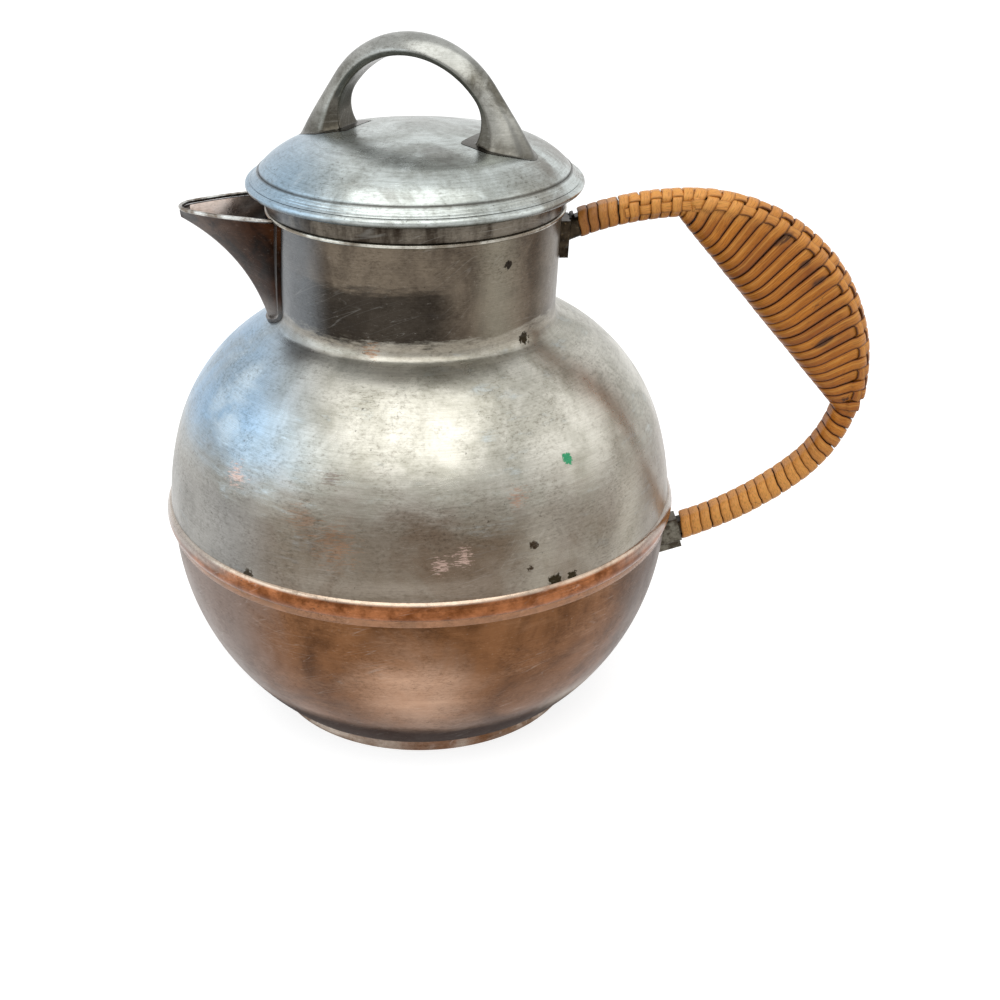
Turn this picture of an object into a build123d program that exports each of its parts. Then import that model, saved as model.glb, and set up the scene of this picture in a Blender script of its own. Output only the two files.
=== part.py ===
from build123d import *
import math
import os

# Covered hot-water jug of silver-plated copper, in millimetres.
# Z is up and the foot's underside is at Z 0. The spout points along -X, the handle along +X.

# Spun sheet and soldering
SHEET = 1.0               # wall of the spun pieces
SOLDER_GAP = 0.1          # soldered faces lie this far apart

# Globe: two spun halves that meet at the seam
GLOBE_R = 82.1            # at its widest
SEAM_Z = 70.2
SHOULDER_DROP = 1.9       # the upper half is widest this far under the seam
SIDE_R = 94.0             # its profile is a long arc up the side
SIDE_TURN = 17.1          # of this many degrees
SHOULDER_R = 57.1         # and a rounder arc over the shoulder
BOWL_INSET = 0.7          # the lower half is a sphere, smaller than the globe by this
BOWL_DROP = 4.7           # and its centre lies this far under the seam
BASE_Z = 4.6              # flat base of the bowl
BASE_CORNER_R = 10.0      # turn from the bowl's side into its base

# Half-round band over the seam, and the foot ring
BAND_HEIGHT = 5.6
BAND_PROUD = 1.3
BAND_EDGE = 0.35          # thickness left at the half-round's edges
TONGUE_HEIGHT = 2.4       # flat strip of the band that lies on the bowl
TONGUE_THICK = 0.6
FOOT_OVERHANG = 0.7       # ring past the flat of the base
FOOT_FLARE = 0.9
FOOT_WALL = 1.6

# Neck: spun in one with the upper half
NECK_BASE_Z = 136.0
NECK_BASE_R = 43.3
NECK_TOP_R = 45.1
NECK_FILLET = 4.0
RIM_Z = 173.2
RIM_BAND_WALL = 0.8
RIM_BAND_HEIGHT = 5.6
BEAD_HEIGHT = 1.3
BEAD_PROUD = 1.4          # from the neck's side to the bead's crest

# Lid: domed cover with a rolled edge and a collar that drops into the neck
LID_SEAT_GAP = 0.2        # lid's seat plate above the rim
LID_CLEARANCE = 0.35      # collar inside the neck, on the radius
COLLAR_WALL = 0.9
COLLAR_DEPTH = 10.0
SEAT_PLATE = 0.8
EDGE_WIRE_R = 1.3
LID_R = 51.4              # over the rolled edge
DOME_R = 47.0             # foot of the dome, where the flange begins
DOME_RISE = 16.9          # top of the dome above the seat
CROWN_R = 150.0           # flat crown of the dome
CROWN_SPAN = 35.0         # radius where the crown turns into the shoulder
DOME_SHOULDER_R = 24.0
FLANGE_STEP = 0.5         # small step round the dome's foot

# Lid's cast strap handle
STRAP_TURN = -27.4        # degrees from the spout's plane
STRAP_RISE = 24.5         # centre line of the arch over the dome
STRAP_HALF_SPAN = 30.0    # half the width of the arch, on its centre line
STRAP_HEIGHT = 31.0       # height of the arch, from the level of its ends
STRAP_THICK = 6.3
STRAP_TOP_WIDTH = 13.8
STRAP_LEG_WIDTH = 8.7
STRAP_FOOT_WIDTH = 20.5
STRAP_TOE = 7.0           # outward flare of each foot
STRAP_HEEL = 8.2          # inward flare of each foot
STRAP_FLARE_DEG = 36.6    # height of the flare, as degrees of the arch

# Spout: folded beak with an open lip
LIP_DROP = 6.4            # lip's level under the rim
SPOUT_TIP_X = -72.2
LIP_TIP_R = 7.5
LIP_SIDE_R = 67.6
LIP_TURN = 53.0           # degrees of the tip's round on each side
KEEL_R = 50.7             # hollow sweep of the keel
KEEL_TIP_DROP = 3.1       # keel under the lip, at the tip
KEEL_ROOT_X = -48.0
KEEL_ROOT_DROP = 32.6     # and at its root, where it meets the neck
KEEL_ROUND = 3.6
SPOUT_NOSE = 3.0          # solid length behind the tip
SPOUT_FLANGE = 2.4        # turned-out strip that is soldered to the neck
LIP_WIRE_R = 0.6
WINDOW_INSET = 1.2        # neck opening inside the spout's walls
WINDOW_DEPTH = 29.0       # its lower edge under the rim

# Handle: flat bar bent to a hoop, a wooden swell inside it, and cane round both
BAR_DEPTH = 5.0           # in the hoop's plane
BAR_WIDTH = 7.0
BAR_CORNER = 1.6
HOOP_START_DROP = 13.6    # bar's upper end under the rim
HOOP_START_DEG = 21.5     # the bar climbs away from the neck at this angle
GRIP_ARC_R = 57.0
GRIP_ARC_DEG = 95.0
WAIST_ARC_R = 44.0
WAIST_ARC_DEG = 45.0
LOWER_ARC_R = 110.0
LOWER_ARC_DEG = 23.0
STUB_REACH = 5.6          # bar's lower end outside the globe
GRIP_END_DEG = -8.6       # the swell runs from the top of the hoop to this place on its arc
GRIP_SWELL = 2.8          # its inner edge lies this far inside the chord between its ends
GRIP_THICK = 15.0
GRIP_END_THICK = 8.0
GRIP_ROUND = 6.8          # corner radius at the middle
GRIP_END_ROUND = 2.0      # corner radius at the ends, a little over the bar's
GRIP_TRIM = 0.06          # the swell's thin tips are cut away
BAR_CLEARANCE = 0.12      # bar in the swell's groove

# Cane strand
CANE_THICK = 1.0
CANE_LIFT = 0.3           # strand off the core
CANE_COVER = 0.83         # strand's share of the pitch
TURNS_UPPER = 10
TURNS_GRIP = 24
TURNS_LOWER = 20

# Handle's fixings
PLATE_THICK = 2.8
PLATE_WIDTH = 10.0
PLATE_HEIGHT = 11.6
PLATE_DROP = 10.8         # plate's top under the rim
PLATE_FLUTE_R = 1.0
FERRULE_LENGTH = 2.4
FERRULE_WALL = 1.0
LOWER_PLATE_THICK = 1.4
LOWER_PLATE_WIDTH = 12.0
LOWER_PLATE_DROP = 14.0   # plate below the bar's end
LOWER_PLATE_RISE = 5.0    # plate above the bar's end
STUB_DEPTH = 8.4
STUB_WIDTH = 8.0
SHELF_THICK = 2.4
SHELF_INSET = 0.8         # shelf ends short of the stub's outer face

CLEAR = 20.0              # how far cutting solids run past what they cut

SHOULDER_CENTRE_Z = SEAM_Z - SHOULDER_DROP
BOWL_CENTRE_Z = SEAM_Z - BOWL_DROP
BOWL_R = GLOBE_R - BOWL_INSET
BASE_FLAT_R = math.sqrt((BOWL_R - BASE_CORNER_R) ** 2 - (BOWL_CENTRE_Z - BASE_Z - BASE_CORNER_R) ** 2)
LIP_Z = RIM_Z - LIP_DROP
PLATE_TOP_Z = RIM_Z - PLATE_DROP
HOOP_START_Z = RIM_Z - HOOP_START_DROP


def tube_slice(radius, low, high):
    """A plain round solid on the axis between two heights."""
    return Pos(0, 0, low) * Cylinder(radius, high - low, align=(Align.CENTER, Align.CENTER, Align.MIN))


def neck_radius(z):
    """The neck's outer radius: straight-sided, opening a little to the rim."""
    share = (z - NECK_BASE_Z) / (RIM_Z - NECK_BASE_Z)
    return NECK_BASE_R + (NECK_TOP_R - NECK_BASE_R) * share


def arc_point(centre, radius, angle):
    """Point at an angle, in degrees, on a circle."""
    turn = math.radians(angle)
    return (centre[0] + radius * math.cos(turn), centre[1] + radius * math.sin(turn))


def shoulder(grow):
    """Upper half of the globe, offset by grow: a long side arc and a rounder shoulder arc."""
    side = (GLOBE_R - SIDE_R, SHOULDER_CENTRE_Z)
    over = arc_point(side, SIDE_R - SHOULDER_R, SIDE_TURN)
    start = arc_point(side, SIDE_R + grow, 0)
    change = arc_point(side, SIDE_R + grow, SIDE_TURN)
    top = arc_point(over, SHOULDER_R + grow, 90)
    with BuildSketch(Plane.XZ) as section:
        with BuildLine():
            ThreePointArc(start, arc_point(side, SIDE_R + grow, SIDE_TURN / 2), change)
            ThreePointArc(change, arc_point(over, SHOULDER_R + grow, (SIDE_TURN + 90) / 2), top)
            Polyline(top, (0, top[1]), (0, start[1]), start)
        make_face()
    return revolve(section.sketch, Axis.Z)


def vessel(grow, top_z=RIM_Z):
    """Outer form of shoulder and neck, offset by grow, with the fillet where they meet."""
    globe = shoulder(grow)
    foot_z = SHOULDER_CENTRE_Z + GLOBE_R / 2
    neck = Cone(
        neck_radius(foot_z) + grow,
        neck_radius(top_z) + grow,
        top_z - foot_z,
        align=(Align.CENTER, Align.CENTER, Align.MIN),
    )
    joined = globe + Pos(0, 0, foot_z) * neck
    rings = joined.edges().filter_by(lambda e: e.is_closed and e.center().Z > foot_z)
    return fillet(rings.sort_by(Axis.Z)[0], NECK_FILLET - grow)


def bowl(grow):
    """Lower half of the globe, offset by grow, cut flat at its base with a rounded turn."""
    globe = Pos(0, 0, BOWL_CENTRE_Z) * Sphere(BOWL_R + grow)
    base_z = BASE_Z - grow
    body = globe & tube_slice(GLOBE_R + CLEAR, base_z, SEAM_Z + CLEAR)
    rim = body.edges().filter_by(lambda e: e.is_closed).sort_by(Axis.Z)[0]
    return fillet(rim, BASE_CORNER_R + grow)


def ring(points):
    """A ring of revolution from its closed outline of (radius, height) points."""
    outline = make_face(Plane.XZ * Polyline(*points, close=True))
    return revolve(outline, Axis.Z)


def half_round_ring(inner_r, proud, low, high, crest):
    """A ring with a flat inner side and a round outer side."""
    with BuildSketch(Plane.XZ) as section:
        with BuildLine():
            side = ThreePointArc((inner_r + crest, low), (inner_r + proud, (low + high) / 2), (inner_r + crest, high))
            Polyline(side @ 1, (inner_r, high), (inner_r, low), side @ 0)
        make_face()
    return revolve(section.sketch, Axis.Z)


# Globe and neck

def make_lower_bowl():
    shell = bowl(0) - bowl(-SHEET)
    return shell & tube_slice(GLOBE_R + CLEAR, 0, SEAM_Z - SOLDER_GAP / 2)


def make_upper_shell():
    shell = vessel(0) - vessel(-SHEET, RIM_Z + CLEAR)
    shell = shell & tube_slice(GLOBE_R + CLEAR, SEAM_Z + SOLDER_GAP / 2, RIM_Z + CLEAR)
    window = spout_form(-SHEET - WINDOW_INSET, BEAD_Z_LOW - WINDOW_INSET, -NECK_TOP_R - CLEAR / 2)
    return shell - (window & tube_slice(GLOBE_R, RIM_Z - WINDOW_DEPTH, RIM_Z))


def make_belly_band():
    """Half-round strip over the seam, with a flat tongue that lies on the bowl below it."""
    inner = GLOBE_R + SOLDER_GAP
    tongue = BOWL_R + SOLDER_GAP
    low, high = SEAM_Z - BAND_HEIGHT / 2, SEAM_Z + BAND_HEIGHT / 2
    edge = inner + BAND_EDGE
    with BuildSketch(Plane.XZ) as section:
        with BuildLine():
            ThreePointArc((edge, high), (inner + BAND_PROUD, SEAM_Z), (edge, low))
            Polyline(
                (edge, low),
                (tongue + TONGUE_THICK, low),
                (tongue + TONGUE_THICK, low - TONGUE_HEIGHT),
                (tongue, low - TONGUE_HEIGHT),
                (tongue, SEAM_Z - SOLDER_GAP),
                (inner, SEAM_Z - SOLDER_GAP),
                (inner, high),
                (edge, high),
            )
        make_face()
    return revolve(section.sketch, Axis.Z)


def make_foot_ring():
    """Ring under the base: upright at its top, flared at the floor."""
    top = BASE_Z - SOLDER_GAP
    outer = BASE_FLAT_R + FOOT_OVERHANG
    return ring([
        (outer + FOOT_FLARE - FOOT_WALL, 0),
        (outer + FOOT_FLARE, 0),
        (outer + FOOT_FLARE, top * 0.2),
        (outer, top * 0.4),
        (outer, top),
        (outer - FOOT_WALL, top),
        (outer - FOOT_WALL, top * 0.4),
    ])


BAND_Z_LOW = RIM_Z - RIM_BAND_HEIGHT
BEAD_Z_LOW = BAND_Z_LOW - SOLDER_GAP - BEAD_HEIGHT
BEAD_R = neck_radius(BEAD_Z_LOW) + BEAD_PROUD


def make_neck_rim_band():
    inner_low = neck_radius(BAND_Z_LOW) + SOLDER_GAP
    inner_high = neck_radius(RIM_Z) + SOLDER_GAP
    return ring([
        (inner_low, BAND_Z_LOW),
        (inner_low + RIM_BAND_WALL, BAND_Z_LOW),
        (inner_high + RIM_BAND_WALL, RIM_Z),
        (inner_high, RIM_Z),
    ])


def make_neck_bead():
    high = BEAD_Z_LOW + BEAD_HEIGHT
    inner = neck_radius(high) + SOLDER_GAP
    return half_round_ring(inner, BEAD_R - inner, BEAD_Z_LOW, high, RIM_BAND_WALL)


# Spout

TIP_CENTRE_X = SPOUT_TIP_X + LIP_TIP_R
SIDE_CENTRE_X = TIP_CENTRE_X + (LIP_SIDE_R - LIP_TIP_R) * math.cos(math.radians(LIP_TURN))
SIDE_CENTRE_Y = -(LIP_SIDE_R - LIP_TIP_R) * math.sin(math.radians(LIP_TURN))
LIP_TANGENT_X = TIP_CENTRE_X - LIP_TIP_R * math.cos(math.radians(LIP_TURN))
ROOT_X = -NECK_BASE_R * 0.8


def lip_half_width(x):
    """Half the lip's width: a round tip that runs tangent into long side arcs."""
    if x < LIP_TANGENT_X:
        return math.sqrt(LIP_TIP_R**2 - (x - TIP_CENTRE_X) ** 2)
    return SIDE_CENTRE_Y + math.sqrt(LIP_SIDE_R**2 - (x - SIDE_CENTRE_X) ** 2)


def keel_centre():
    """Centre of the keel's arc, on its hollow side, from its two ends and its radius."""
    tip = Vector(SPOUT_TIP_X, LIP_Z - KEEL_TIP_DROP)
    root = Vector(KEEL_ROOT_X, LIP_Z - KEEL_ROOT_DROP)
    chord = root - tip
    rise = math.sqrt(KEEL_R**2 - (chord.length / 2) ** 2)
    return (tip + root) / 2 + Vector(chord.Y, -chord.X).normalized() * rise


def keel_z(x):
    """Height of the keel: an arc from tip to root, then straight on into the shoulder."""
    centre = keel_centre()
    on_arc = min(x, KEEL_ROOT_X)
    reach = math.sqrt(KEEL_R**2 - (on_arc - centre.X) ** 2)
    slope = -(on_arc - centre.X) / reach
    return centre.Y + reach + slope * (x - on_arc)


def spout_section(x, grow, top_z):
    """V-shaped section with a rounded keel, offset by grow, as a face across the spout."""
    width = lip_half_width(x)
    radius = min(KEEL_ROUND, 0.4 * width)
    apex = keel_z(x)
    for _ in range(30):
        half_angle = math.atan2(width, LIP_Z - apex)
        apex = keel_z(x) + radius - radius / math.sin(half_angle)
    half_angle = math.atan2(width, LIP_Z - apex)
    radius = max(radius + grow, 0.3)
    apex -= grow / math.sin(half_angle)
    centre_z = apex + radius / math.sin(half_angle)
    touch_y = radius * math.cos(half_angle)
    touch_z = centre_z - radius * math.sin(half_angle)
    top_y = (top_z - apex) * math.tan(half_angle)
    corners = [(x, top_y, top_z), (x, touch_y, touch_z), (x, -touch_y, touch_z), (x, -top_y, top_z)]
    return make_face([
        Line(corners[0], corners[1]),
        ThreePointArc(corners[1], (x, 0, centre_z - radius), corners[2]),
        Line(corners[2], corners[3]),
        Line(corners[3], corners[0]),
    ])


def spout_form(grow, top_z, first=SPOUT_TIP_X + 0.6):
    """Solid of the beak, offset by grow, from its first station to inside the neck."""
    shares = [0, 0.08, 0.22, 0.38, 0.54, 0.68, 0.84, 1]
    stations = [first + (ROOT_X - first) * share for share in shares]
    return loft([spout_section(x, grow, top_z) for x in stations])


def spout_keep_out():
    """What the spout stays clear of: the vessel, and the bead and band round its rim."""
    return vessel(SOLDER_GAP, RIM_Z + CLEAR) + tube_slice(
        BEAD_R + SOLDER_GAP, BEAD_Z_LOW - SOLDER_GAP, RIM_Z + CLEAR
    )


def make_spout_body():
    inside = spout_form(-SHEET, LIP_Z + SHEET, SPOUT_TIP_X + SPOUT_NOSE)
    wall = spout_form(0, LIP_Z) - spout_keep_out() - inside
    strip = spout_form(SPOUT_FLANGE, LIP_Z, -NECK_TOP_R - CLEAR) & vessel(SOLDER_GAP + SHEET, RIM_Z + CLEAR)
    strip = strip - spout_keep_out() - inside
    body = wall + strip
    below_wire = tube_slice(2 * GLOBE_R, 0, LIP_Z - LIP_WIRE_R - SOLDER_GAP)
    return (body & below_wire).solids().sort_by(SortBy.VOLUME)[-1]


def make_spout_lip_wire():
    inset = LIP_WIRE_R
    tip = (TIP_CENTRE_X - LIP_TIP_R + inset, 0)
    turn = math.radians(LIP_TURN)
    touch = Vector(-math.cos(turn), math.sin(turn)) * (LIP_TIP_R - inset) + Vector(TIP_CENTRE_X, 0)
    side_mid_x = (touch.X + ROOT_X) / 2
    side = [(x, lip_side(x, inset)) for x in (side_mid_x, ROOT_X)]
    mirrored = [(x, -y) for x, y in side]
    with BuildLine(Plane.XY.offset(LIP_Z)) as path:
        ThreePointArc(side[1], side[0], (touch.X, touch.Y))
        ThreePointArc((touch.X, touch.Y), tip, (touch.X, -touch.Y))
        ThreePointArc((touch.X, -touch.Y), mirrored[0], mirrored[1])
    start = Plane(origin=path.line @ 0, z_dir=path.line % 0)
    return sweep(start * Circle(LIP_WIRE_R), path.line) - spout_keep_out()


def lip_side(x, inset):
    """The lip's long side arc at x, inset towards the spout's middle."""
    return SIDE_CENTRE_Y + math.sqrt((LIP_SIDE_R - inset) ** 2 - (x - SIDE_CENTRE_X) ** 2)


# Lid

SEAT_Z = RIM_Z + LID_SEAT_GAP
EDGE_CENTRE_R = LID_R - EDGE_WIRE_R
EDGE_CENTRE_Z = SEAT_Z + EDGE_WIRE_R
DOME_TOP_Z = SEAT_Z + DOME_RISE
CROWN_CENTRE_Z = DOME_TOP_Z - CROWN_R
CROWN_LEAN = math.asin(CROWN_SPAN / CROWN_R)
DOME_SHOULDER_CENTRE = (
    CROWN_SPAN - DOME_SHOULDER_R * math.sin(CROWN_LEAN),
    CROWN_CENTRE_Z + (CROWN_R - DOME_SHOULDER_R) * math.cos(CROWN_LEAN),
)


def dome_z(radius, sink=0.0):
    """Height of the dome's outer side, or of the surface sink below it."""
    span = CROWN_SPAN - sink * math.sin(CROWN_LEAN)
    if radius <= span:
        return CROWN_CENTRE_Z + math.sqrt((CROWN_R - sink) ** 2 - radius**2)
    centre_r, centre_z = DOME_SHOULDER_CENTRE
    return centre_z + math.sqrt((DOME_SHOULDER_R - sink) ** 2 - (radius - centre_r) ** 2)


def dome_form(sink):
    """Solid under the dome's surface, sunk by sink, down to the seat plate's height."""
    span = CROWN_SPAN - sink * math.sin(CROWN_LEAN)
    edge_r = DOME_R - sink
    with BuildSketch(Plane.XZ) as section:
        with BuildLine():
            ThreePointArc((0, dome_z(0, sink)), (span / 2, dome_z(span / 2, sink)), (span, dome_z(span, sink)))
            middle = (span + edge_r) / 2
            ThreePointArc(
                (span, dome_z(span, sink)), (middle, dome_z(middle, sink)), (edge_r, dome_z(edge_r, sink))
            )
            Polyline((edge_r, dome_z(edge_r, sink)), (edge_r, SEAT_Z), (0, SEAT_Z), (0, dome_z(0, sink)))
        make_face()
    return revolve(section.sketch, Axis.Z)


def make_lid_dome():
    step_z = dome_z(DOME_R) - FLANGE_STEP
    edge_top = EDGE_CENTRE_Z + EDGE_WIRE_R
    flange = ring([
        (DOME_R - 2 * SHEET, step_z),
        (DOME_R + 0.6, step_z),
        (EDGE_CENTRE_R - 0.8, edge_top + 0.7),
        (EDGE_CENTRE_R, edge_top),
        (EDGE_CENTRE_R, edge_top - SHEET),
        (EDGE_CENTRE_R - 1.2, edge_top - 0.3),
        (DOME_R, step_z - SHEET),
        (DOME_R - 2 * SHEET, step_z - SHEET),
    ])
    crown = dome_form(0) & tube_slice(LID_R, step_z - SHEET, DOME_TOP_Z + CLEAR)
    edge = Pos(0, 0, EDGE_CENTRE_Z) * Torus(EDGE_CENTRE_R, EDGE_WIRE_R + SOLDER_GAP)
    return (crown + flange) - dome_form(SHEET) - edge


def make_lid_edge_wire():
    return Pos(0, 0, EDGE_CENTRE_Z) * Torus(EDGE_CENTRE_R, EDGE_WIRE_R)


def make_lid_collar():
    outer = neck_radius(RIM_Z - COLLAR_DEPTH) - SHEET - LID_CLEARANCE
    plate_r = EDGE_CENTRE_R - EDGE_WIRE_R - SOLDER_GAP
    return ring([
        (outer - COLLAR_WALL, SEAT_Z - COLLAR_DEPTH),
        (outer, SEAT_Z - COLLAR_DEPTH),
        (outer, SEAT_Z),
        (plate_r, SEAT_Z),
        (plate_r, SEAT_Z + SEAT_PLATE),
        (outer - COLLAR_WALL, SEAT_Z + SEAT_PLATE),
    ])


def strap_section(angle):
    """D-shaped section of the strap at an angle up the arch, flat inside and crowned outside.

    The feet flare to both sides, outward to a toe and inward to a heel.
    """
    height = min(angle, 180 - angle)
    flare = max(0.0, 1 - height / STRAP_FLARE_DEG) ** 2
    crest = math.sin(math.radians(angle)) ** 3
    width = STRAP_LEG_WIDTH + (STRAP_TOP_WIDTH - STRAP_LEG_WIDTH) * crest
    half = (width + (STRAP_FOOT_WIDTH - STRAP_LEG_WIDTH) * flare) / 2
    outer = STRAP_THICK / 2 + STRAP_TOE * flare
    inner = -STRAP_THICK / 2 - STRAP_HEEL * flare
    edge = STRAP_THICK * -0.2
    rise, run = math.sin(math.radians(angle)), math.cos(math.radians(angle))
    centre = Vector(STRAP_HALF_SPAN * run, 0, DOME_TOP_Z + STRAP_RISE - STRAP_HEIGHT * (1 - rise))
    out = Vector(STRAP_HEIGHT * run, 0, STRAP_HALF_SPAN * rise).normalized()

    def place(radial, across):
        return centre + out * radial + Vector(0, across, 0)

    corners = [place(inner, -half * 0.8), place(inner, half * 0.8), place(edge, half), place(edge, -half)]
    return make_face([
        Line(corners[0], corners[1]),
        Line(corners[1], corners[2]),
        ThreePointArc(corners[2], place(outer, 0), corners[3]),
        Line(corners[3], corners[0]),
    ])


def make_lid_handle():
    steps = 16
    angles = [180 * step / steps for step in range(steps + 1)]
    arch = loft([strap_section(angle) for angle in angles])
    seat = dome_form(-SOLDER_GAP) + tube_slice(LID_R, SEAT_Z - CLEAR, SEAT_Z + SEAT_PLATE)
    return Rot(0, 0, STRAP_TURN) * (arch - seat).solids().sort_by(SortBy.VOLUME)[-1]


# Handle

def hoop_arcs():
    """The hoop's arcs in its plane, from the neck to the bowl: start, heading, radius and turn."""
    heading = 0.0
    below_top = [(GRIP_ARC_R, GRIP_ARC_DEG), (WAIST_ARC_R, WAIST_ARC_DEG), (LOWER_ARC_R, LOWER_ARC_DEG)]
    reach = 0.0
    for radius, turn in below_top:
        reach += radius * (math.sin(math.radians(heading + turn)) - math.sin(math.radians(heading)))
        heading += turn
    start_x = neck_radius(HOOP_START_Z) + PLATE_THICK + 2 * SOLDER_GAP
    top_x = GLOBE_R + STUB_REACH - reach
    climb = math.radians(HOOP_START_DEG)
    upper_r = (top_x - start_x) / math.sin(climb)
    arcs = []
    place = Vector(start_x, HOOP_START_Z)
    heading = HOOP_START_DEG
    for radius, turn in [(upper_r, HOOP_START_DEG)] + below_top:
        arcs.append((place, heading, radius, turn))
        place = arc_place(place, heading, radius, turn)
        heading -= turn
    return arcs


def arc_place(start, heading, radius, turn):
    """Where a clockwise arc ends after a turn in degrees."""
    centre = start + Vector(radius, 0).rotate(Axis.Z, heading - 90)
    return centre + Vector(radius, 0).rotate(Axis.Z, heading + 90 - turn)


ARCS = hoop_arcs()
UPPER_LENGTH = math.radians(ARCS[0][3]) * ARCS[0][2]
HOOP_TOP = ARCS[1][0]
GRIP_CENTRE = HOOP_TOP - Vector(0, GRIP_ARC_R)
HOOP_END = arc_place(*ARCS[-1])
END_HEADING = ARCS[-1][1] - ARCS[-1][3]


def hoop_frame(length):
    """Point and outward direction on the hoop's centre line, length along it from the neck."""
    for start, heading, radius, turn in ARCS:
        arc_length = math.radians(turn) * radius
        if length <= arc_length or (start, heading, radius, turn) == ARCS[-1]:
            swept = math.degrees(length / radius)
            out = Vector(1, 0).rotate(Axis.Z, heading - swept + 90)
            return arc_place(start, heading, radius, swept), out
        length -= arc_length


def bar_path():
    """The hoop's centre line as tangent arcs, run on straight into the neck's plate."""
    start, heading = ARCS[0][0], ARCS[0][1]
    lead = start - Vector(PLATE_THICK, 0).rotate(Axis.Z, heading)
    with BuildLine(Plane.XZ) as path:
        Line((lead.X, lead.Y), (start.X, start.Y))
        for place, angle, radius, turn in ARCS:
            middle = arc_place(place, angle, radius, turn / 2)
            end = arc_place(place, angle, radius, turn)
            ThreePointArc((place.X, place.Y), (middle.X, middle.Y), (end.X, end.Y))
    return path.line


def bar_form(grow):
    """The bent bar, grown on every side of its section."""
    path = bar_path()
    start = Plane(origin=path @ 0, x_dir=(0, 1, 0), z_dir=path % 0)
    section = RectangleRounded(BAR_WIDTH + 2 * grow, BAR_DEPTH + 2 * grow, BAR_CORNER + grow)
    return sweep(start * section, path)


def make_handle_hoop():
    return bar_form(0) - vessel(PLATE_THICK + 2 * SOLDER_GAP)


def make_upper_ferrule():
    """Short sleeve round the bar where it meets the plate."""
    sleeve = bar_form(SOLDER_GAP + FERRULE_WALL) - bar_form(SOLDER_GAP)
    start, heading = ARCS[0][0], ARCS[0][1]
    along = Vector(1, 0, 0).rotate(Axis.Y, -heading)
    reach = Plane(origin=(start.X, 0, start.Y), z_dir=along) * Cylinder(2 * BAR_WIDTH, 2 * FERRULE_LENGTH)
    return (sleeve & reach) - vessel(PLATE_THICK + 2 * SOLDER_GAP)


def make_upper_bracket():
    """Fluted plate that follows the neck's side."""
    height = Pos(NECK_TOP_R, 0, PLATE_TOP_Z - PLATE_HEIGHT / 2) * Box(4 * PLATE_THICK, PLATE_WIDTH, PLATE_HEIGHT)
    plate = (vessel(SOLDER_GAP + PLATE_THICK) - vessel(SOLDER_GAP)) & height
    for side in (-1, 1):
        face_x = neck_radius(PLATE_TOP_Z) + PLATE_THICK + PLATE_FLUTE_R / 2
        flute = Pos(face_x, side * PLATE_WIDTH / 4, PLATE_TOP_Z) * Cylinder(PLATE_FLUTE_R, 4 * PLATE_HEIGHT)
        plate -= flute
    return plate


def end_plane():
    """Plane across the bar's lower end, facing the bowl."""
    origin = Vector(HOOP_END.X, 0, HOOP_END.Y)
    inward = Vector(1, 0, 0).rotate(Axis.Y, -END_HEADING)
    return Plane(origin=origin, x_dir=(0, 1, 0), z_dir=inward)


def make_lower_bracket():
    """Plate that follows the bowl under the band, with a shelf under the stub."""
    low = HOOP_END.Y - LOWER_PLATE_DROP
    high = min(HOOP_END.Y + LOWER_PLATE_RISE, SEAM_Z - BAND_HEIGHT / 2 - SOLDER_GAP)
    slab = Pos(GLOBE_R, 0, (low + high) / 2) * Box(GLOBE_R, LOWER_PLATE_WIDTH, high - low)
    outer = bowl(SOLDER_GAP + LOWER_PLATE_THICK)
    shelf_at = end_plane() * Pos(0, shelf_side() * (STUB_DEPTH / 2 + SOLDER_GAP + SHELF_THICK / 2), SHELF_INSET)
    shelf = shelf_at * Box(STUB_WIDTH * 0.7, SHELF_THICK, CLEAR, align=(Align.CENTER, Align.CENTER, Align.MIN))
    return ((outer & slab) + (shelf & slab)) - bowl(SOLDER_GAP)


def shelf_side():
    """Which way is down across the end plane."""
    return -1 if end_plane().y_dir.Z > 0 else 1


def make_lower_stub():
    """Block between the bar's end and the bowl's plate."""
    block = Box(STUB_WIDTH, STUB_DEPTH, CLEAR, align=(Align.CENTER, Align.CENTER, Align.MIN))
    block = fillet(block.edges().filter_by(Axis.Z), 1.0)
    return end_plane() * Pos(0, 0, SOLDER_GAP) * block - bowl(LOWER_PLATE_THICK + 2 * SOLDER_GAP)


def grip_frame(share):
    """Middle, outward direction, depth, thickness and corner of the swell's section at a share of its length.

    The inner edge is the chord between two places on the bar's inner side, and the outer edge
    is the bar's outer side, both divided evenly, so the sections fan as the strands do.
    """
    inner_r = GRIP_ARC_R - BAR_DEPTH / 2
    chord_start = GRIP_CENTRE + Vector(inner_r, 0).rotate(Axis.Z, 90)
    chord_end = GRIP_CENTRE + Vector(inner_r, 0).rotate(Axis.Z, GRIP_END_DEG)
    chord = chord_end - chord_start
    inner = chord_start + chord * share + Vector(chord.Y, -chord.X).normalized() * GRIP_SWELL
    turn = 90 + (GRIP_END_DEG - 90) * share
    outer = GRIP_CENTRE + Vector(GRIP_ARC_R + BAR_DEPTH / 2, 0).rotate(Axis.Z, turn)
    bulge = math.sin(math.pi * min(max(share, 0), 1))
    thick = GRIP_END_THICK + (GRIP_THICK - GRIP_END_THICK) * bulge
    round_r = GRIP_END_ROUND + (GRIP_ROUND - GRIP_END_ROUND) * bulge
    span = outer - inner
    return (inner + outer) / 2, span.normalized(), span.length, thick, round_r


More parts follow.
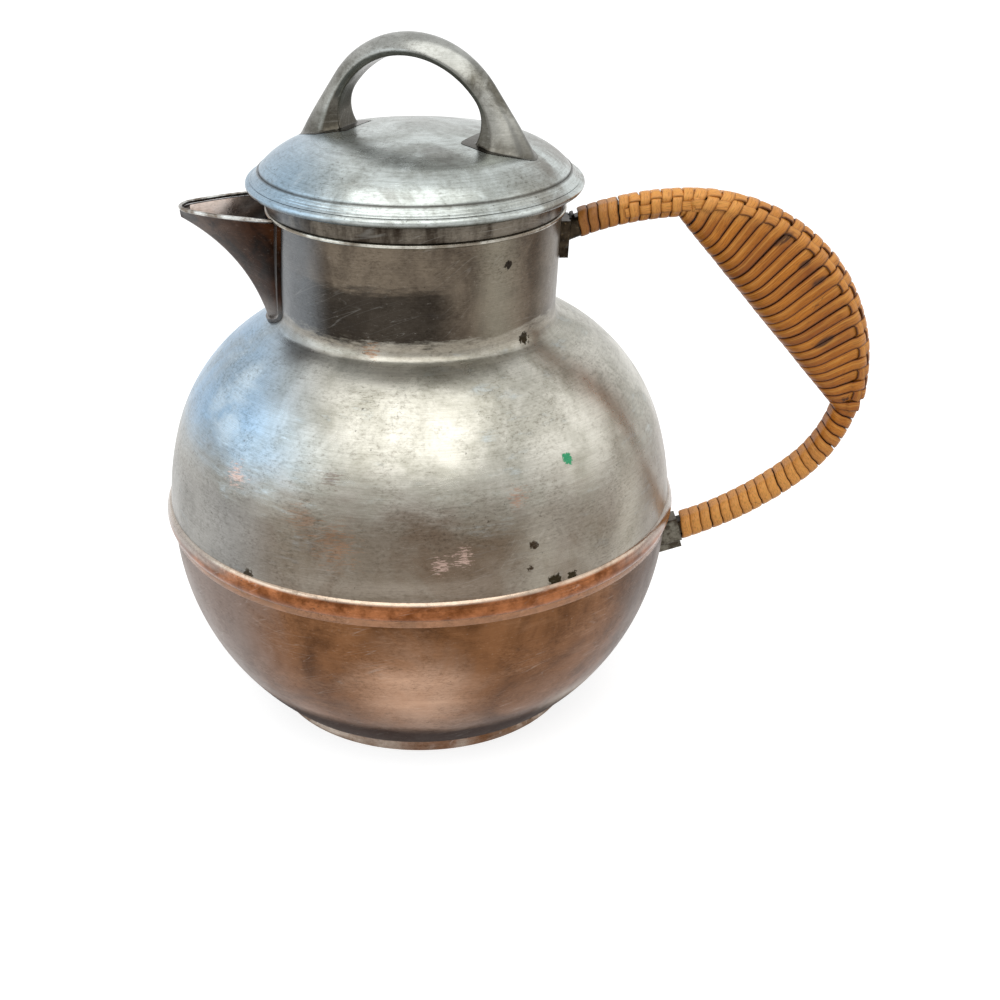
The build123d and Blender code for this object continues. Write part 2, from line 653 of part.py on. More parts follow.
def make_grip_core():
    """Wooden swell between chord and hoop, grooved along its back for the bar."""
    steps = 10
    sections = []
    for step in range(steps + 1):
        share = GRIP_TRIM + (1 - 2 * GRIP_TRIM) * step / steps
        middle, out, depth, thick, round_r = grip_frame(share)
        where = Plane(origin=(middle.X, 0, middle.Y), x_dir=(out.X, 0, out.Y), z_dir=(out.Y, 0, -out.X))
        sections.append(where * RectangleRounded(depth, thick, round_r))
    return (loft(sections) - bar_form(BAR_CLEARANCE)).solids().sort_by(SortBy.VOLUME)[-1]


# Cane winding

ROUND_STEPS = (6, 32, 58, 84)


def strand_point(frame, place, turn_deg, lift):
    """Point on the rounded oblong round the core, lift off it, where the surface faces turn_deg."""
    middle, out, depth, thick, radius = frame(place)
    turn = math.radians(turn_deg)
    radial = math.copysign(depth / 2 - radius, math.cos(turn)) + (radius + lift) * math.cos(turn)
    across = math.copysign(thick / 2 - radius, math.sin(turn)) + (radius + lift) * math.sin(turn)
    flat = middle + out * radial
    return Vector(flat.X, across, flat.Y)


def strand_sections(frame, turns):
    """Four-cornered sections of one unbroken flat strand that climbs the core in even turns."""
    half = CANE_COVER / (turns + CANE_COVER) / 2
    middle_lift = CANE_LIFT + CANE_THICK / 2
    first, last = half, 1 - half
    sections = []
    for turn in range(turns):
        for quarter in range(4):
            for step in ROUND_STEPS:
                angle = 90 * quarter + step
                place = first + (last - first) * (turn + angle / 360) / turns
                centre = strand_point(frame, place, angle, middle_lift)
                low = strand_point(frame, place - half, angle, middle_lift)
                high = strand_point(frame, place + half, angle, middle_lift)
                along = (high - low).normalized()
                out = frame(place)[1]
                facing = Vector(out.X * math.cos(math.radians(angle)), math.sin(math.radians(angle)),
                                out.Y * math.cos(math.radians(angle)))
                facing = (facing - along * facing.dot(along)).normalized()
                reach = along * ((high - low).length / 2)
                rise = facing * (CANE_THICK / 2)
                sections.append([centre - reach - rise, centre + reach - rise,
                                 centre + reach + rise, centre - reach + rise])
    return sections


def least_gap(sections):
    """Least distance from any corner of the strand to the strand one turn further on."""
    per_turn = 4 * len(ROUND_STEPS)
    least = float("inf")
    for index, section in enumerate(sections):
        for other in sections[index + per_turn - 1:index + per_turn + 2]:
            for corner in section:
                least = min([least] + [(corner - far).length for far in other])
    return least


def make_winding(name, frame, turns):
    """One strand wound round a core in even turns."""
    sections = strand_sections(frame, turns)
    print(name, "turns", turns, "least gap to itself", round(least_gap(sections), 2), "mm")
    return Solid.make_loft([Wire.make_polygon(section) for section in sections], ruled=True)


def run_frame(start, end):
    """Frame of a thin run of the bar between two lengths along the hoop."""
    def frame(place):
        middle, out = hoop_frame(start + (end - start) * place)
        return middle, out, BAR_DEPTH, BAR_WIDTH, BAR_CORNER
    return frame


GRIP_END_LENGTH = UPPER_LENGTH + math.radians(90 - GRIP_END_DEG) * GRIP_ARC_R
HOOP_LENGTH = sum(math.radians(turn) * radius for _, _, radius, turn in ARCS)
UPPER_RUN = run_frame(FERRULE_LENGTH + CANE_LIFT, UPPER_LENGTH - CANE_LIFT)
LOWER_RUN = run_frame(GRIP_END_LENGTH + CANE_LIFT, HOOP_LENGTH - CANE_LIFT)


PIECES = {
    "lower_bowl": make_lower_bowl(),
    "upper_shell": make_upper_shell(),
    "belly_band": make_belly_band(),
    "foot_ring": make_foot_ring(),
    "neck_rim_band": make_neck_rim_band(),
    "neck_bead": make_neck_bead(),
    "spout_body": make_spout_body(),
    "spout_lip_wire": make_spout_lip_wire(),
    "upper_bracket": make_upper_bracket(),
    "upper_ferrule": make_upper_ferrule(),
    "handle_hoop": make_handle_hoop(),
    "grip_core": make_grip_core(),
    "cane_wrap_upper": make_winding("cane_wrap_upper", UPPER_RUN, TURNS_UPPER),
    "cane_wrap_grip": make_winding("cane_wrap_grip", grip_frame, TURNS_GRIP),
    "cane_wrap_lower": make_winding("cane_wrap_lower", LOWER_RUN, TURNS_LOWER),
    "lower_bracket": make_lower_bracket(),
    "lower_stub": make_lower_stub(),
    "lid_dome": make_lid_dome(),
    "lid_edge_wire": make_lid_edge_wire(),
    "lid_collar": make_lid_collar(),
    "lid_handle": make_lid_handle(),
}

os.makedirs("parts", exist_ok=True)
for name, piece in PIECES.items():
    export_step(piece, f"parts/{name}.step")
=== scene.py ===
"""Looks of a covered hot-water jug: worn silver plate on spun copper, a beak spout, a lift-off
lid with a cast strap, and a hoop handle wound with cane. Sizes are in millimetres and are turned
into metres where a mesh is made. Colours are the ones seen on a screen, in parts of 255.
"""

import math

import bmesh
import bpy
import numpy as np
from mathutils import Matrix, Vector


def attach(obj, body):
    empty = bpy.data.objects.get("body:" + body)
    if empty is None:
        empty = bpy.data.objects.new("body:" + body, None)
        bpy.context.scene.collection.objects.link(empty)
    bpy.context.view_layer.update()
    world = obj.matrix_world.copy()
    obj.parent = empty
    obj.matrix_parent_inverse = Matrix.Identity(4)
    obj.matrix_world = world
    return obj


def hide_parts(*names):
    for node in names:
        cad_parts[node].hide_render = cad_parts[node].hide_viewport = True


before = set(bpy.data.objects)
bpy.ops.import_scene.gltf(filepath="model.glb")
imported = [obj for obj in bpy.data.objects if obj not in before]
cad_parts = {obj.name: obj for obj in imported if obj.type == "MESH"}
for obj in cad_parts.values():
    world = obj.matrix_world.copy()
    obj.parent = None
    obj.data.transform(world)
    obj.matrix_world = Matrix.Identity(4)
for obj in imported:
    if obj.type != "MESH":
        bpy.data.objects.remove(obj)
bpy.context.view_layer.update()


# Camera. It looks down on the jug from about half a metre away, turned a little to the right and
# with a slight roll, as the photograph does. Its place is in metres and its angles in degrees.

CAMERA_PLACE = (0.0, -0.44716, 0.28761)
CAMERA_LENS, CAMERA_SENSOR = 53.26, 36
CAMERA_PAN, CAMERA_PITCH, CAMERA_ROLL = 3.376, 26.438, 0.418
pan, pitch, roll = (math.radians(angle) for angle in (CAMERA_PAN, CAMERA_PITCH, CAMERA_ROLL))
ahead = Vector((math.sin(pan) * math.cos(pitch), math.cos(pan) * math.cos(pitch), -math.sin(pitch)))
level = Vector((math.cos(pan), -math.sin(pan), 0))
raised = level.cross(ahead)
sideways = level * math.cos(roll) + raised * math.sin(roll)
upward = raised * math.cos(roll) - level * math.sin(roll)
camera_data = bpy.data.cameras.new("camera")
camera_data.lens = CAMERA_LENS
camera_data.sensor_width = CAMERA_SENSOR
camera = bpy.data.objects.new("camera", camera_data)
orientation = Matrix((sideways, upward, -ahead)).transposed().to_4x4()
camera.matrix_world = Matrix.Translation(CAMERA_PLACE) @ orientation
bpy.context.scene.collection.objects.link(camera)
bpy.context.scene.camera = camera


# Shoulder and neck. One spun sheet of copper, silver plated, from the seam at the jug's widest
# place up to the rim. Its plate is worn to grey and brown, most of all round the neck, and it is
# cut through behind the spout. The brown-grey above the band and the dark neck are partly that
# tarnish and partly a painted reflection of a dark room. The blue at the left, the light and dark
# columns and the streaks are painted reflections. The panes are painted pale window light and the
# scuffs bare copper.

SHEET = 1.0
SEAM_Z = 70.2
SIDE_CENTRE, SIDE_R, SIDE_TURN = (-11.9, 68.3), 94.0, 17.1
SHOULDER_R = 57.1
NECK_FOOT, NECK_RIM = (43.3, 136.0), (45.1, 173.2)
NECK_FILLET = 4.0
SEAM_GAP = 0.05


def arc(centre, radius, start, end, count):
    """Points (r, z) on a circle, evenly from one angle to another, in degrees."""
    turn = np.radians(np.linspace(start, end, count))
    return np.column_stack([centre[0] + radius * np.cos(turn), centre[1] + radius * np.sin(turn)])


def neck_radius(z):
    """The neck's radius: a straight line from its foot to its rim."""
    return np.interp(z, (NECK_FOOT[1], NECK_RIM[1]), (NECK_FOOT[0], NECK_RIM[0]))


def shell_side(grow):
    """One side of the shell's profile, seam to rim: a long arc, a rounder arc, a fillet, a line.

    Each arc is the outer side's, about the same centre, with its radius changed by grow. The
    fillet's centre is found by letting its height and its radius settle in turn."""
    turn = math.radians(SIDE_TURN)
    over = np.add(SIDE_CENTRE, (SIDE_R - SHOULDER_R) * np.array([math.cos(turn), math.sin(turn)]))
    lean = math.atan2(NECK_RIM[0] - NECK_FOOT[0], NECK_RIM[1] - NECK_FOOT[1])
    centre = np.array([0.0, NECK_FOOT[1]])
    reach = SHOULDER_R + NECK_FILLET
    for _ in range(20):
        centre[0] = neck_radius(centre[1]) + NECK_FILLET / math.cos(lean)
        centre[1] = over[1] + math.sqrt(reach**2 - (centre[0] - over[0]) ** 2)
    meet = math.degrees(math.atan2(centre[1] - over[1], centre[0] - over[0]))
    seam = math.degrees(math.asin((SEAM_Z + SEAM_GAP - SIDE_CENTRE[1]) / (SIDE_R + grow)))
    top = [[NECK_RIM[0] + grow / math.cos(lean), NECK_RIM[1]]]
    fillet = arc(centre, NECK_FILLET - grow, meet - 180, -180 - math.degrees(lean), 10)
    neck = np.linspace(fillet[-1], top[0], 12)
    return np.vstack([
        arc(SIDE_CENTRE, SIDE_R + grow, seam, SIDE_TURN, 16),
        arc(over, SHOULDER_R + grow, SIDE_TURN, meet, 40)[1:],
        fillet[1:],
        neck[1:],
    ])


def surface(name, *grids, sharp=38):
    """A welded mesh from grids of points in millimetres, with quads between rows and columns.

    Each grid is (points, close_rows, close_columns) and may add its uv values."""
    points, faces, uvs, first = [], [], [], 0
    for grid, close_rows, close_columns, *uv in grids:
        rows, columns = grid.shape[:2]
        index = first + np.arange(rows * columns).reshape(rows, columns)
        index = np.vstack([index, index[:1]]) if close_rows else index
        index = np.hstack([index, index[:, :1]]) if close_columns else index
        corners = [index[:-1, :-1], index[1:, :-1], index[1:, 1:], index[:-1, 1:]]
        faces.append(np.stack(corners, axis=-1).reshape(-1, 4))
        points.append(grid.reshape(-1, 3))
        if uv:
            corners = [uv[0][:-1, :-1], uv[0][1:, :-1], uv[0][1:, 1:], uv[0][:-1, 1:]]
            uvs.append(np.stack(corners, axis=2).reshape(-1, 2))
        first += rows * columns
    mesh = bpy.data.meshes.new(name)
    mesh.from_pydata((np.vstack(points) * 0.001).tolist(), [], np.vstack(faces).tolist())
    if uvs:
        mesh.uv_layers.new(name="UVMap").data.foreach_set("uv", np.vstack(uvs).ravel())
    work = bmesh.new()
    work.from_mesh(mesh)
    bmesh.ops.remove_doubles(work, verts=work.verts, dist=1e-6)
    if work.calc_volume(signed=True) < 0:
        bmesh.ops.reverse_faces(work, faces=work.faces)
    work.to_mesh(mesh)
    work.free()
    mesh.shade_smooth()
    mesh.set_sharp_from_angle(angle=math.radians(sharp))
    piece = bpy.data.objects.new(name, mesh)
    bpy.context.scene.collection.objects.link(piece)
    return piece


def spun(name, outline, steps=240, sharp=38):
    """A ring or vessel: its closed outline of (r, z) points carried round the axis."""
    bearing = np.linspace(0, 2 * math.pi, steps, endpoint=False)[:, None]
    r, z = np.asarray(outline)[None, :, 0], np.asarray(outline)[None, :, 1]
    grid = np.stack([r * np.cos(bearing), r * np.sin(bearing), z + 0 * bearing], axis=-1)
    return surface(name, (grid, True, True), sharp=sharp)


def colour(red, green, blue):
    """A shader's colour from the one seen on a screen."""
    return tuple((part / 255) ** 2.2 for part in (red, green, blue)) + (1.0,)


class Link:
    """A socket in a shader expression. Sums on it add Math nodes to its material."""

    def __init__(self, tree, socket=None):
        self.tree, self.socket = tree, socket

    def node(self, kind, settings=None, inputs=None, output=0):
        """Any node: its settings are set first, then its sockets, to values or links."""
        node = self.tree.nodes.new("ShaderNode" + kind)
        for key, value in (settings or {}).items():
            setattr(node, key, value)
        for key, value in (inputs or {}).items():
            if isinstance(value, Link):
                self.tree.links.new(value.socket, node.inputs[key])
            else:
                node.inputs[key].default_value = value
        return Link(self.tree, node.outputs[output])

    def maths(self, operation, first, second=0.0):
        return self.node("Math", {"operation": operation}, {0: first, 1: second})

    def __add__(self, other):
        return self.maths("ADD", self, other)

    def __mul__(self, other):
        return self.maths("MULTIPLY", self, other)

    def __sub__(self, other):
        return self.maths("SUBTRACT", self, other)

    def __rsub__(self, other):
        return self.maths("SUBTRACT", other, self)

    def __abs__(self):
        return self.maths("ABSOLUTE", self)

    __radd__, __rmul__ = __add__, __mul__

    def rise(self, low, high):
        """0 below low, 1 above high and smooth between, or the other way round."""
        settings = {"interpolation_type": "SMOOTHSTEP"}
        return self.node("MapRange", settings, {"Value": self, "From Min": low, "From Max": high})

    def near(self, middle, reach):
        """1 at middle, falling smoothly to 0 at reach from it."""
        return abs(self - middle).rise(reach, 0)

    def mix(self, first, second, how="MIX"):
        """The first tone where this is 0 and the second where it is 1: a link or (r, g, b)."""
        tones = [tone if isinstance(tone, Link) else colour(*tone) for tone in (first, second)]
        settings = {"data_type": "RGBA", "blend_type": how}
        return self.node("Mix", settings, {0: self, 6: tones[0], 7: tones[1]}, 2)

    def scaled(self, x, y, z):
        """The place stretched or squeezed along each axis."""
        return self.node("VectorMath", {"operation": "MULTIPLY"}, {0: self, 1: (x, y, z)})

    def moved(self, centre):
        """The place as seen from a point."""
        return self.node("VectorMath", {"operation": "SUBTRACT"}, {0: self, 1: centre})

    def noise(self, scale, detail=3, roughness=0.55, distortion=0.0):
        """Cloudy values about 0.5, in smaller patches at a higher scale."""
        inputs = {"Vector": self, "Scale": scale, "Detail": detail, "Roughness": roughness,
                  "Distortion": distortion}
        return self.node("TexNoise", None, inputs)

    def spot(self, centre, reach):
        """1 at a point, falling smoothly to 0 at reach from it."""
        distance = self.node("VectorMath", {"operation": "DISTANCE"}, {0: self, 1: centre}, 1)
        return distance.rise(reach, 0)

    def turned(self, x, y, z):
        """The place turned by degrees about each axis."""
        rotation = tuple(math.radians(angle) for angle in (x, y, z))
        return self.node("Mapping", None, {"Vector": self, "Rotation": rotation})


def finish(name, paint):
    """A material whose sockets are what paint gives for the place in millimetres."""
    material = bpy.data.materials.new(name)
    material.use_nodes = True
    start = Link(material.node_tree)
    place = start.node("TexCoord", output="Object").scaled(1000, 1000, 1000)
    shader = material.node_tree.nodes["Principled BSDF"]
    for key, value in paint(place).items():
        if isinstance(value, Link):
            material.node_tree.links.new(value.socket, shader.inputs[key])
        else:
            shader.inputs[key].default_value = value
    return material


def axes(place):
    """The place's x, y and z as three links."""
    node = place.node("SeparateXYZ", None, {0: place}).socket.node
    return [Link(place.tree, socket) for socket in node.outputs]


def scratches(place, turn, width=0.012):
    """Long thin scratches: a stretched noise where it passes its middle value, broken up."""
    long = place.turned(*turn).scaled(0.03, 0.03, 0.5)
    line = abs(long.noise(1.0, 1, 0.4, 0.3) - 0.5).rise(width, 0)
    return line * place.turned(*turn).noise(0.05, 2).rise(0.5, 0.62)


def worn_metal(place, base, spin=0.2, rough=0.31, pits=0.6, scratched=0.1):
    """Sockets of a spun and worn sheet: spinning lines, mottling, scratches and pits."""
    lines = place.scaled(0.05, 0.05, 4.5).noise(1.0, 6, 0.8)
    cloud = place.noise(0.07, 8, 0.66, 0.4)
    mottle = place.scaled(1, 1, 2.2).noise(0.7, 7, 0.78, 0.3)
    scratch = scratches(place, (24, 15, 10)) + scratches(place, (-48, 20, 40)) * 0.7
    specks = place.noise(1.0, 4, 0.7).rise(0.62, 0.7) * cloud.rise(0.44, 0.58)
    shade = (lines.rise(0.4, 0.66) * spin).mix(base, (120, 112, 102), "MULTIPLY")
    dull = mottle.rise(0.44, 0.7) * cloud.rise(0.3, 0.6)
    shade = (dull * 0.6).mix(shade, (132, 124, 112), "MULTIPLY")
    shade = (mottle.rise(0.42, 0.28) * 0.1).mix(shade, (255, 250, 240))
    shade = (scratch * scratched).mix(shade, (250, 250, 244))
    shade = (specks * pits).mix(shade, (58, 46, 36))
    height = lines * 0.2 + mottle * 0.35 + scratch * -0.4 + specks * -0.6
    height = height + place.noise(0.045, 3, 0.5) * 14
    return {
        "Base Color": shade,
        "Metallic": 1.0 - specks * (0.6 * pits),
        "Roughness": cloud * 0.3 + mottle * 0.14 + (rough - 0.22) + specks * 0.3,
        "Normal": place.node("Bump", None, {"Strength": 0.5, "Distance": 0.00006, "Height": height}),
    }


# Painted spots: a place and its reach, a scuff's strength, and a tone.
PANES = (((-53.2, -34.7, 119.7), 9), ((-60.5, -30.3, 115.1), 7),
         ((-49.3, -31.5, 124.1), 7), ((-56.9, -41.0, 111.8), 8))
COPPER, BROWN, PINK, DARK = (180, 124, 94), (150, 106, 74), (206, 176, 164), (48, 42, 30)
SCUFFS = (((-53.7, -53.7, 101.4), 8.5, 0.8, PINK), ((11.3, -79.5, 86.4), 6.5, 0.6, PINK),
          ((4.8, -80.5, 84.5), 5.5, 0.6, PINK), ((27.3, -71, 101), 7, 0.4, COPPER),
          ((-24.8, -75.7, 89), 15, 0.4, BROWN), ((-34, -70, 95), 11, 0.3, BROWN),
          ((-13.7, -41, 134.6), 5.5, 0.6, (164, 118, 82)),
          ((-25.8, -68.8, 106.5), 7, 0.5, (112, 88, 80)))
CORROSION = (((42.3, -59.3, 107.6), 3.2, (62, 138, 100)), ((38.4, -72.3, 74.1), 4.2, DARK),
             ((43.7, -69.3, 74), 3.2, DARK), ((31.9, -73.6, 86.9), 2.6, (60, 50, 40)),
             ((30.5, -74.6, 80), 2.2, (60, 50, 40)), ((31.1, -30.1, 133.9), 3.6, (50, 44, 34)),
             ((26.1, -35.9, 158.4), 2.4, (40, 34, 28)), ((-51.5, -63.7, 73.5), 3.6, (60, 54, 44)))


def shell_paint(place):
    """Plate tones by place: bright shoulder, brown-grey above the band, dark ragged neck. The
    dark tones are partly tarnish and partly a painted reflection of a dark room, and the blues,
    columns, streaks and the darker fillet are painted reflections.
    """
    x, y, z = axes(place)
    cloud = place.noise(0.05, 7, 0.62, 0.5)
    ragged = place.scaled(0.3, 0.3, 1.5).noise(0.3, 7, 0.72) - 0.5
    silver = cloud.rise(0.36, 0.66).mix((206, 204, 194), (162, 160, 148))
    # Painted reflection of a window: blue on the left of the shoulder.
    cool = x.rise(-24, -56) * (z + ragged * 10).rise(94, 112) * (cloud.rise(0.7, 0.4) * 0.4 + 0.6)
    silver = (cool * 0.8).mix(silver, (136, 178, 214))
    for centre, reach in PANES:
        pane = place.spot(centre, reach * 1.3) + (cloud - 0.5) * 1.2 + ragged * 1.4
        silver = (pane.rise(0.1, 1.1) * 0.55).mix(silver, (216, 234, 246))
    # Brown-grey above the band: partly tarnish, partly a painted reflection of a dark room.
    tarnish_and_reflection = (z + ragged * 18 + (cloud - 0.5) * 22).rise(112, 90)
    stains = place.noise(0.035, 5, 0.6, 0.6).rise(0.4, 0.6)
    brown = stains.mix((108, 96, 83), (92, 73, 56))
    # Painted reflections: lighter columns, and darker sides at the left and right.
    brown = (x.near(34, 9) * 0.5).mix(brown, (142, 134, 120))
    brown = (x.near(63, 8) * 0.6).mix(brown, (150, 140, 122))
    brown = (x.rise(-38, -60) * 0.85).mix(brown, (86, 86, 92))
    brown = (x.rise(64, 74) * 0.85).mix(brown, (104, 78, 56))
    shade = (tarnish_and_reflection * (x.near(-2, 110) * 0.5 + 0.42)).mix(silver, brown)
    shade = ((z + ragged * 8).near(77, 5) * x.near(-5, 40) * 0.4).mix(shade, (160, 150, 138))
    # A painted dark reflection in the fillet at the neck's foot.
    shade = ((z + ragged * 5).near(135.5, 5) * 0.7).mix(shade, (128, 118, 104))
    # Two dark streaks on the front of the shoulder: painted reflections.
    dark_reflection_streak = (x - 31 + (z - 134) * 1.33 + ragged * 4).near(0, 6) * z.near(128, 14)
    dark_reflection_streak = dark_reflection_streak + (x - 54 + (z - 117) * 0.41 + ragged * 3).near(0, 4) * z.near(104, 16)
    shade = (dark_reflection_streak * y.rise(0, -20) * 0.42).mix(shade, (108, 98, 84))
    edge = z + ragged * 12
    # The neck: partly tarnish, partly a painted reflection of a dark room, darkest low at the front,
    # with painted light and dark columns and a painted blue-grey reflection at the left.
    neck = cloud.rise(0.36, 0.64).mix((108, 97, 84), (78, 69, 60))
    neck = (edge.rise(155, 151) * x.rise(14, 3) * 0.85).mix(neck, (40, 35, 31))
    neck = (x.near(23, 9) * 0.65).mix(neck, (134, 128, 114))
    neck = (x.near(36, 5) * 0.5).mix(neck, (84, 74, 60))
    neck = (x.rise(38, 43) * 0.7).mix(neck, (104, 92, 76))
    neck = (x.rise(-25, -34) * 0.8).mix(neck, (104, 108, 112))
    return (edge.rise(135, 138.5) * 0.98).mix(shade, neck)


def shell_sockets(place):
    """The shell's colour with copper showing in patches, a green spot and dark corrosion."""
    shade = shell_paint(place)
    ragged = place.noise(0.8, 6, 0.75)
    brushed = place.turned(14, 0, 28).scaled(0.25, 0.6, 2.4).noise(1.1, 6, 0.75)
    for centre, reach, much, tone in SCUFFS:
        spot = place.spot(centre, reach)
        broken = (brushed - 0.66 + spot * 0.21).rise(0, 0.06) * spot.rise(0, 0.3)
        shade = (broken * much).mix(shade, tone)
    for centre, reach, tone in CORROSION:
        mark = place.spot(centre, reach) + (ragged - 0.5) * 2.2
        shade = mark.rise(0.4, 0.52).mix(shade, tone)
    sockets = worn_metal(place, shade, scratched=0.05)
    x, _, z = axes(place)
    # The right edges of the shoulder and neck are made less metallic so that they reflect less: a
    # painted dark reflection.
    muted_reflection = x.rise(60, 74) * z.rise(112, 96) * 0.6 + x.rise(38, 43) * z.rise(134, 138) * 0.6
    sockets["Metallic"] = sockets["Metallic"] * (1.0 - muted_reflection)
    return sockets


worn_shell = finish("worn_shell_plate", shell_sockets)
shell = spun("upper_shell_plate", np.vstack([shell_side(0), shell_side(-SHEET)[::-1]]), 256)
WINDOW_TOP, WINDOW_FOOT = (14.4, 165.0), (3.9, 144.2)
WINDOW_X = (-60, -60, -30, -30)
(top_y, top_z), (foot_y, foot_z) = WINDOW_TOP, WINDOW_FOOT
corners = ((-top_y, top_z), (top_y, top_z), (foot_y, foot_z), (-foot_y, foot_z))
wedge = np.array([[(x, y, z) for y, z in corners] for x in WINDOW_X], float)
wedge[[0, 3]] = wedge[[0, 3]].mean(axis=1, keepdims=True)
cutter = surface("window_cutter", (wedge, False, True))
cut = shell.modifiers.new("window", "BOOLEAN")
cut.object, cut.operation, cut.solver = cutter, "DIFFERENCE", "EXACT"
opened = bpy.data.meshes.new_from_object(shell.evaluated_get(bpy.context.evaluated_depsgraph_get()))
shell.modifiers.clear()
shell.data = opened
bpy.data.objects.remove(cutter)
shell.data.materials.append(worn_shell)
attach(shell, "kettle_body")
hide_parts("upper_shell")


# Lower bowl. A spun copper hemisphere with a flat base, its plate worn through to brown copper
# nearly everywhere. Some grey is left at the left. Round the base it is painted dark as shade, its
# front carries a painted highlight and its right front a painted dark reflection.

BOWL_CENTRE, BOWL_R = (0.0, 65.5), 81.4
BASE_Z, BASE_CORNER_R, BASE_FLAT_R = 4.6, 10.0, 50.07


def bowl_side(grow):
    """The bowl's profile, seam to the middle of its base: an arc, a tighter arc and a flat."""
    radius, corner = BOWL_R + grow, BASE_CORNER_R + grow
    corner_centre = (BASE_FLAT_R, BASE_Z + BASE_CORNER_R)
    drop, out = corner_centre[1] - BOWL_CENTRE[1], corner_centre[0] - BOWL_CENTRE[0]
    meet = math.degrees(math.atan2(drop, out))
    seam = math.degrees(math.asin((SEAM_Z - SEAM_GAP - BOWL_CENTRE[1]) / radius))
    return np.vstack([
        arc(BOWL_CENTRE, radius, seam, meet, 56),
        arc(corner_centre, corner, meet, -90, 12)[1:],
        np.linspace((BASE_FLAT_R, BASE_Z - grow), (0, BASE_Z - grow), 14)[1:],
    ])


def bowl_sockets(place):
    x, y, z = axes(place)
    cloud = place.noise(0.04, 7, 0.62, 0.6)
    around = place.scaled(0.35, 0.35, 1.2).noise(0.08, 6, 0.65)
    shade = cloud.rise(0.38, 0.66).mix((122, 85, 58), (86, 58, 38))
    shade = (around.rise(0.5, 0.68) * 0.35).mix(shade, (150, 114, 88))
    # A painted highlight on the front of the bowl.
    glow = place.spot((-3, -74, 38), 42) + (cloud - 0.5) * 1.1 + (around - 0.5) * 0.6
    shade = (glow.rise(0.25, 1.25) * 0.62).mix(shade, (222, 182, 154))
    # Painted shade: dark round the base, where the bowl turns under.
    base_shade = (z + (cloud - 0.5) * 8).rise(22, 15.5)
    shade = (base_shade * 0.95).mix(shade, (44, 24, 12))
    front = y.rise(42, -22)
    left = (x + (cloud - 0.5) * 36).rise(-42, -60)
    shade = (left * front * 0.75).mix(shade, (122, 110, 104))
    # A painted dark reflection on the right of the front.
    right = (x + (cloud - 0.5) * 30).rise(52, 70)
    shade = (right * front * 0.8).mix(shade, (70, 50, 36))
    base_edge = (x + (cloud - 0.5) * 20).near(48, 16) * (z + (cloud - 0.5) * 12).near(19, 8)
    shade = (base_edge * 0.8).mix(shade, (170, 156, 142))
    edge = z.rise(62, 67) * cloud.rise(0.5, 0.6)
    shade = (edge * 0.4).mix(shade, (84, 60, 44))
    sockets = worn_metal(place, shade, spin=0.2, rough=0.36, pits=0.4, scratched=0.07)
    sockets["Metallic"] = sockets["Metallic"] * (1.0 - base_shade * 0.8)
    sockets["Roughness"] = sockets["Roughness"] + base_shade * 0.3
    sockets["Specular IOR Level"] = 0.12
    return sockets


bowl = spun("lower_bowl_copper", np.vstack([bowl_side(0), bowl_side(-SHEET)[::-1]]), 256)
bowl.data.materials.append(finish("worn_bowl_copper", bowl_sockets))
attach(bowl, "kettle_body")
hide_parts("lower_bowl")


# Belly band. Half-round copper strip soldered over the seam, with a painted highlight along its
# top, and a flat tongue below it that lies on the bowl.

BAND_INNER_R, BAND_HEIGHT, BAND_PROUD, BAND_EDGE = 82.2, 5.6, 1.3, 0.35
TONGUE_INNER_R, TONGUE_THICK, TONGUE_HEIGHT = 81.5, 0.6, 2.4


def half_round(r, crest_r, low, high, count=14):
    """Profile of a half-round side: the arc through its two edges and its crest, bottom to top."""
    rise, half = crest_r - r, (high - low) / 2
    radius = (rise**2 + half**2) / (2 * rise)
    turn = math.degrees(math.asin(half / radius)) if rise <= half else 90
    return arc((crest_r - radius, (low + high) / 2), radius, -turn, turn, count)


def band_sockets(place):
    x, y, z = axes(place)
    cloud = place.noise(0.12, 6, 0.65)
    shade = cloud.rise(0.36, 0.64).mix((158, 102, 68), (106, 64, 38))
    # A painted highlight in a broken line along the band's top.
    crest = z.rise(72.2, 73.0) * place.noise(0.08, 4, 0.6).rise(0.2, 0.5)
    shade = (crest * 0.65).mix(shade, (232, 216, 196))
    side = (x.rise(-52, -70) + x.rise(54, 74)) * y.rise(42, -22)
    shade = (side * z.rise(69.8, 71.6) * 0.7).mix(shade, (176, 172, 166))
    shade = (z.rise(68.2, 67.2) * 0.6).mix(shade, (150, 120, 98))
    return worn_metal(place, shade, spin=0.2, rough=0.22, pits=0.7)


low, high = SEAM_Z - BAND_HEIGHT / 2, SEAM_Z + BAND_HEIGHT / 2
tongue_r = TONGUE_INNER_R + TONGUE_THICK
outline = np.vstack([
    half_round(BAND_INNER_R + BAND_EDGE, BAND_INNER_R + BAND_PROUD, low, high),
    [(BAND_INNER_R + 0.1, high + 0.25), (BAND_INNER_R - 0.24, high + 0.4), (BAND_INNER_R, SEAM_Z)],
    [(BAND_INNER_R, SEAM_Z - 0.1), (TONGUE_INNER_R, SEAM_Z - 0.1)],
    [(TONGUE_INNER_R, low - TONGUE_HEIGHT), (tongue_r - 0.15, low - TONGUE_HEIGHT)],
    [(tongue_r, low - TONGUE_HEIGHT + 0.2), (tongue_r, low - 0.1), (tongue_r + 0.15, low)],
])
band = spun("belly_band_copper", outline, 256, sharp=50)
band.data.materials.append(finish("band_copper", band_sockets))
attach(band, "kettle_body")
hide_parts("belly_band")


# Foot ring. A strip of plated sheet bent to a ring and soldered under the base, a little flared
# where it stands.

FOOT_R, FOOT_TOP, FOOT_FLARE, FOOT_WALL = 50.77, 4.5, 0.9, 1.6


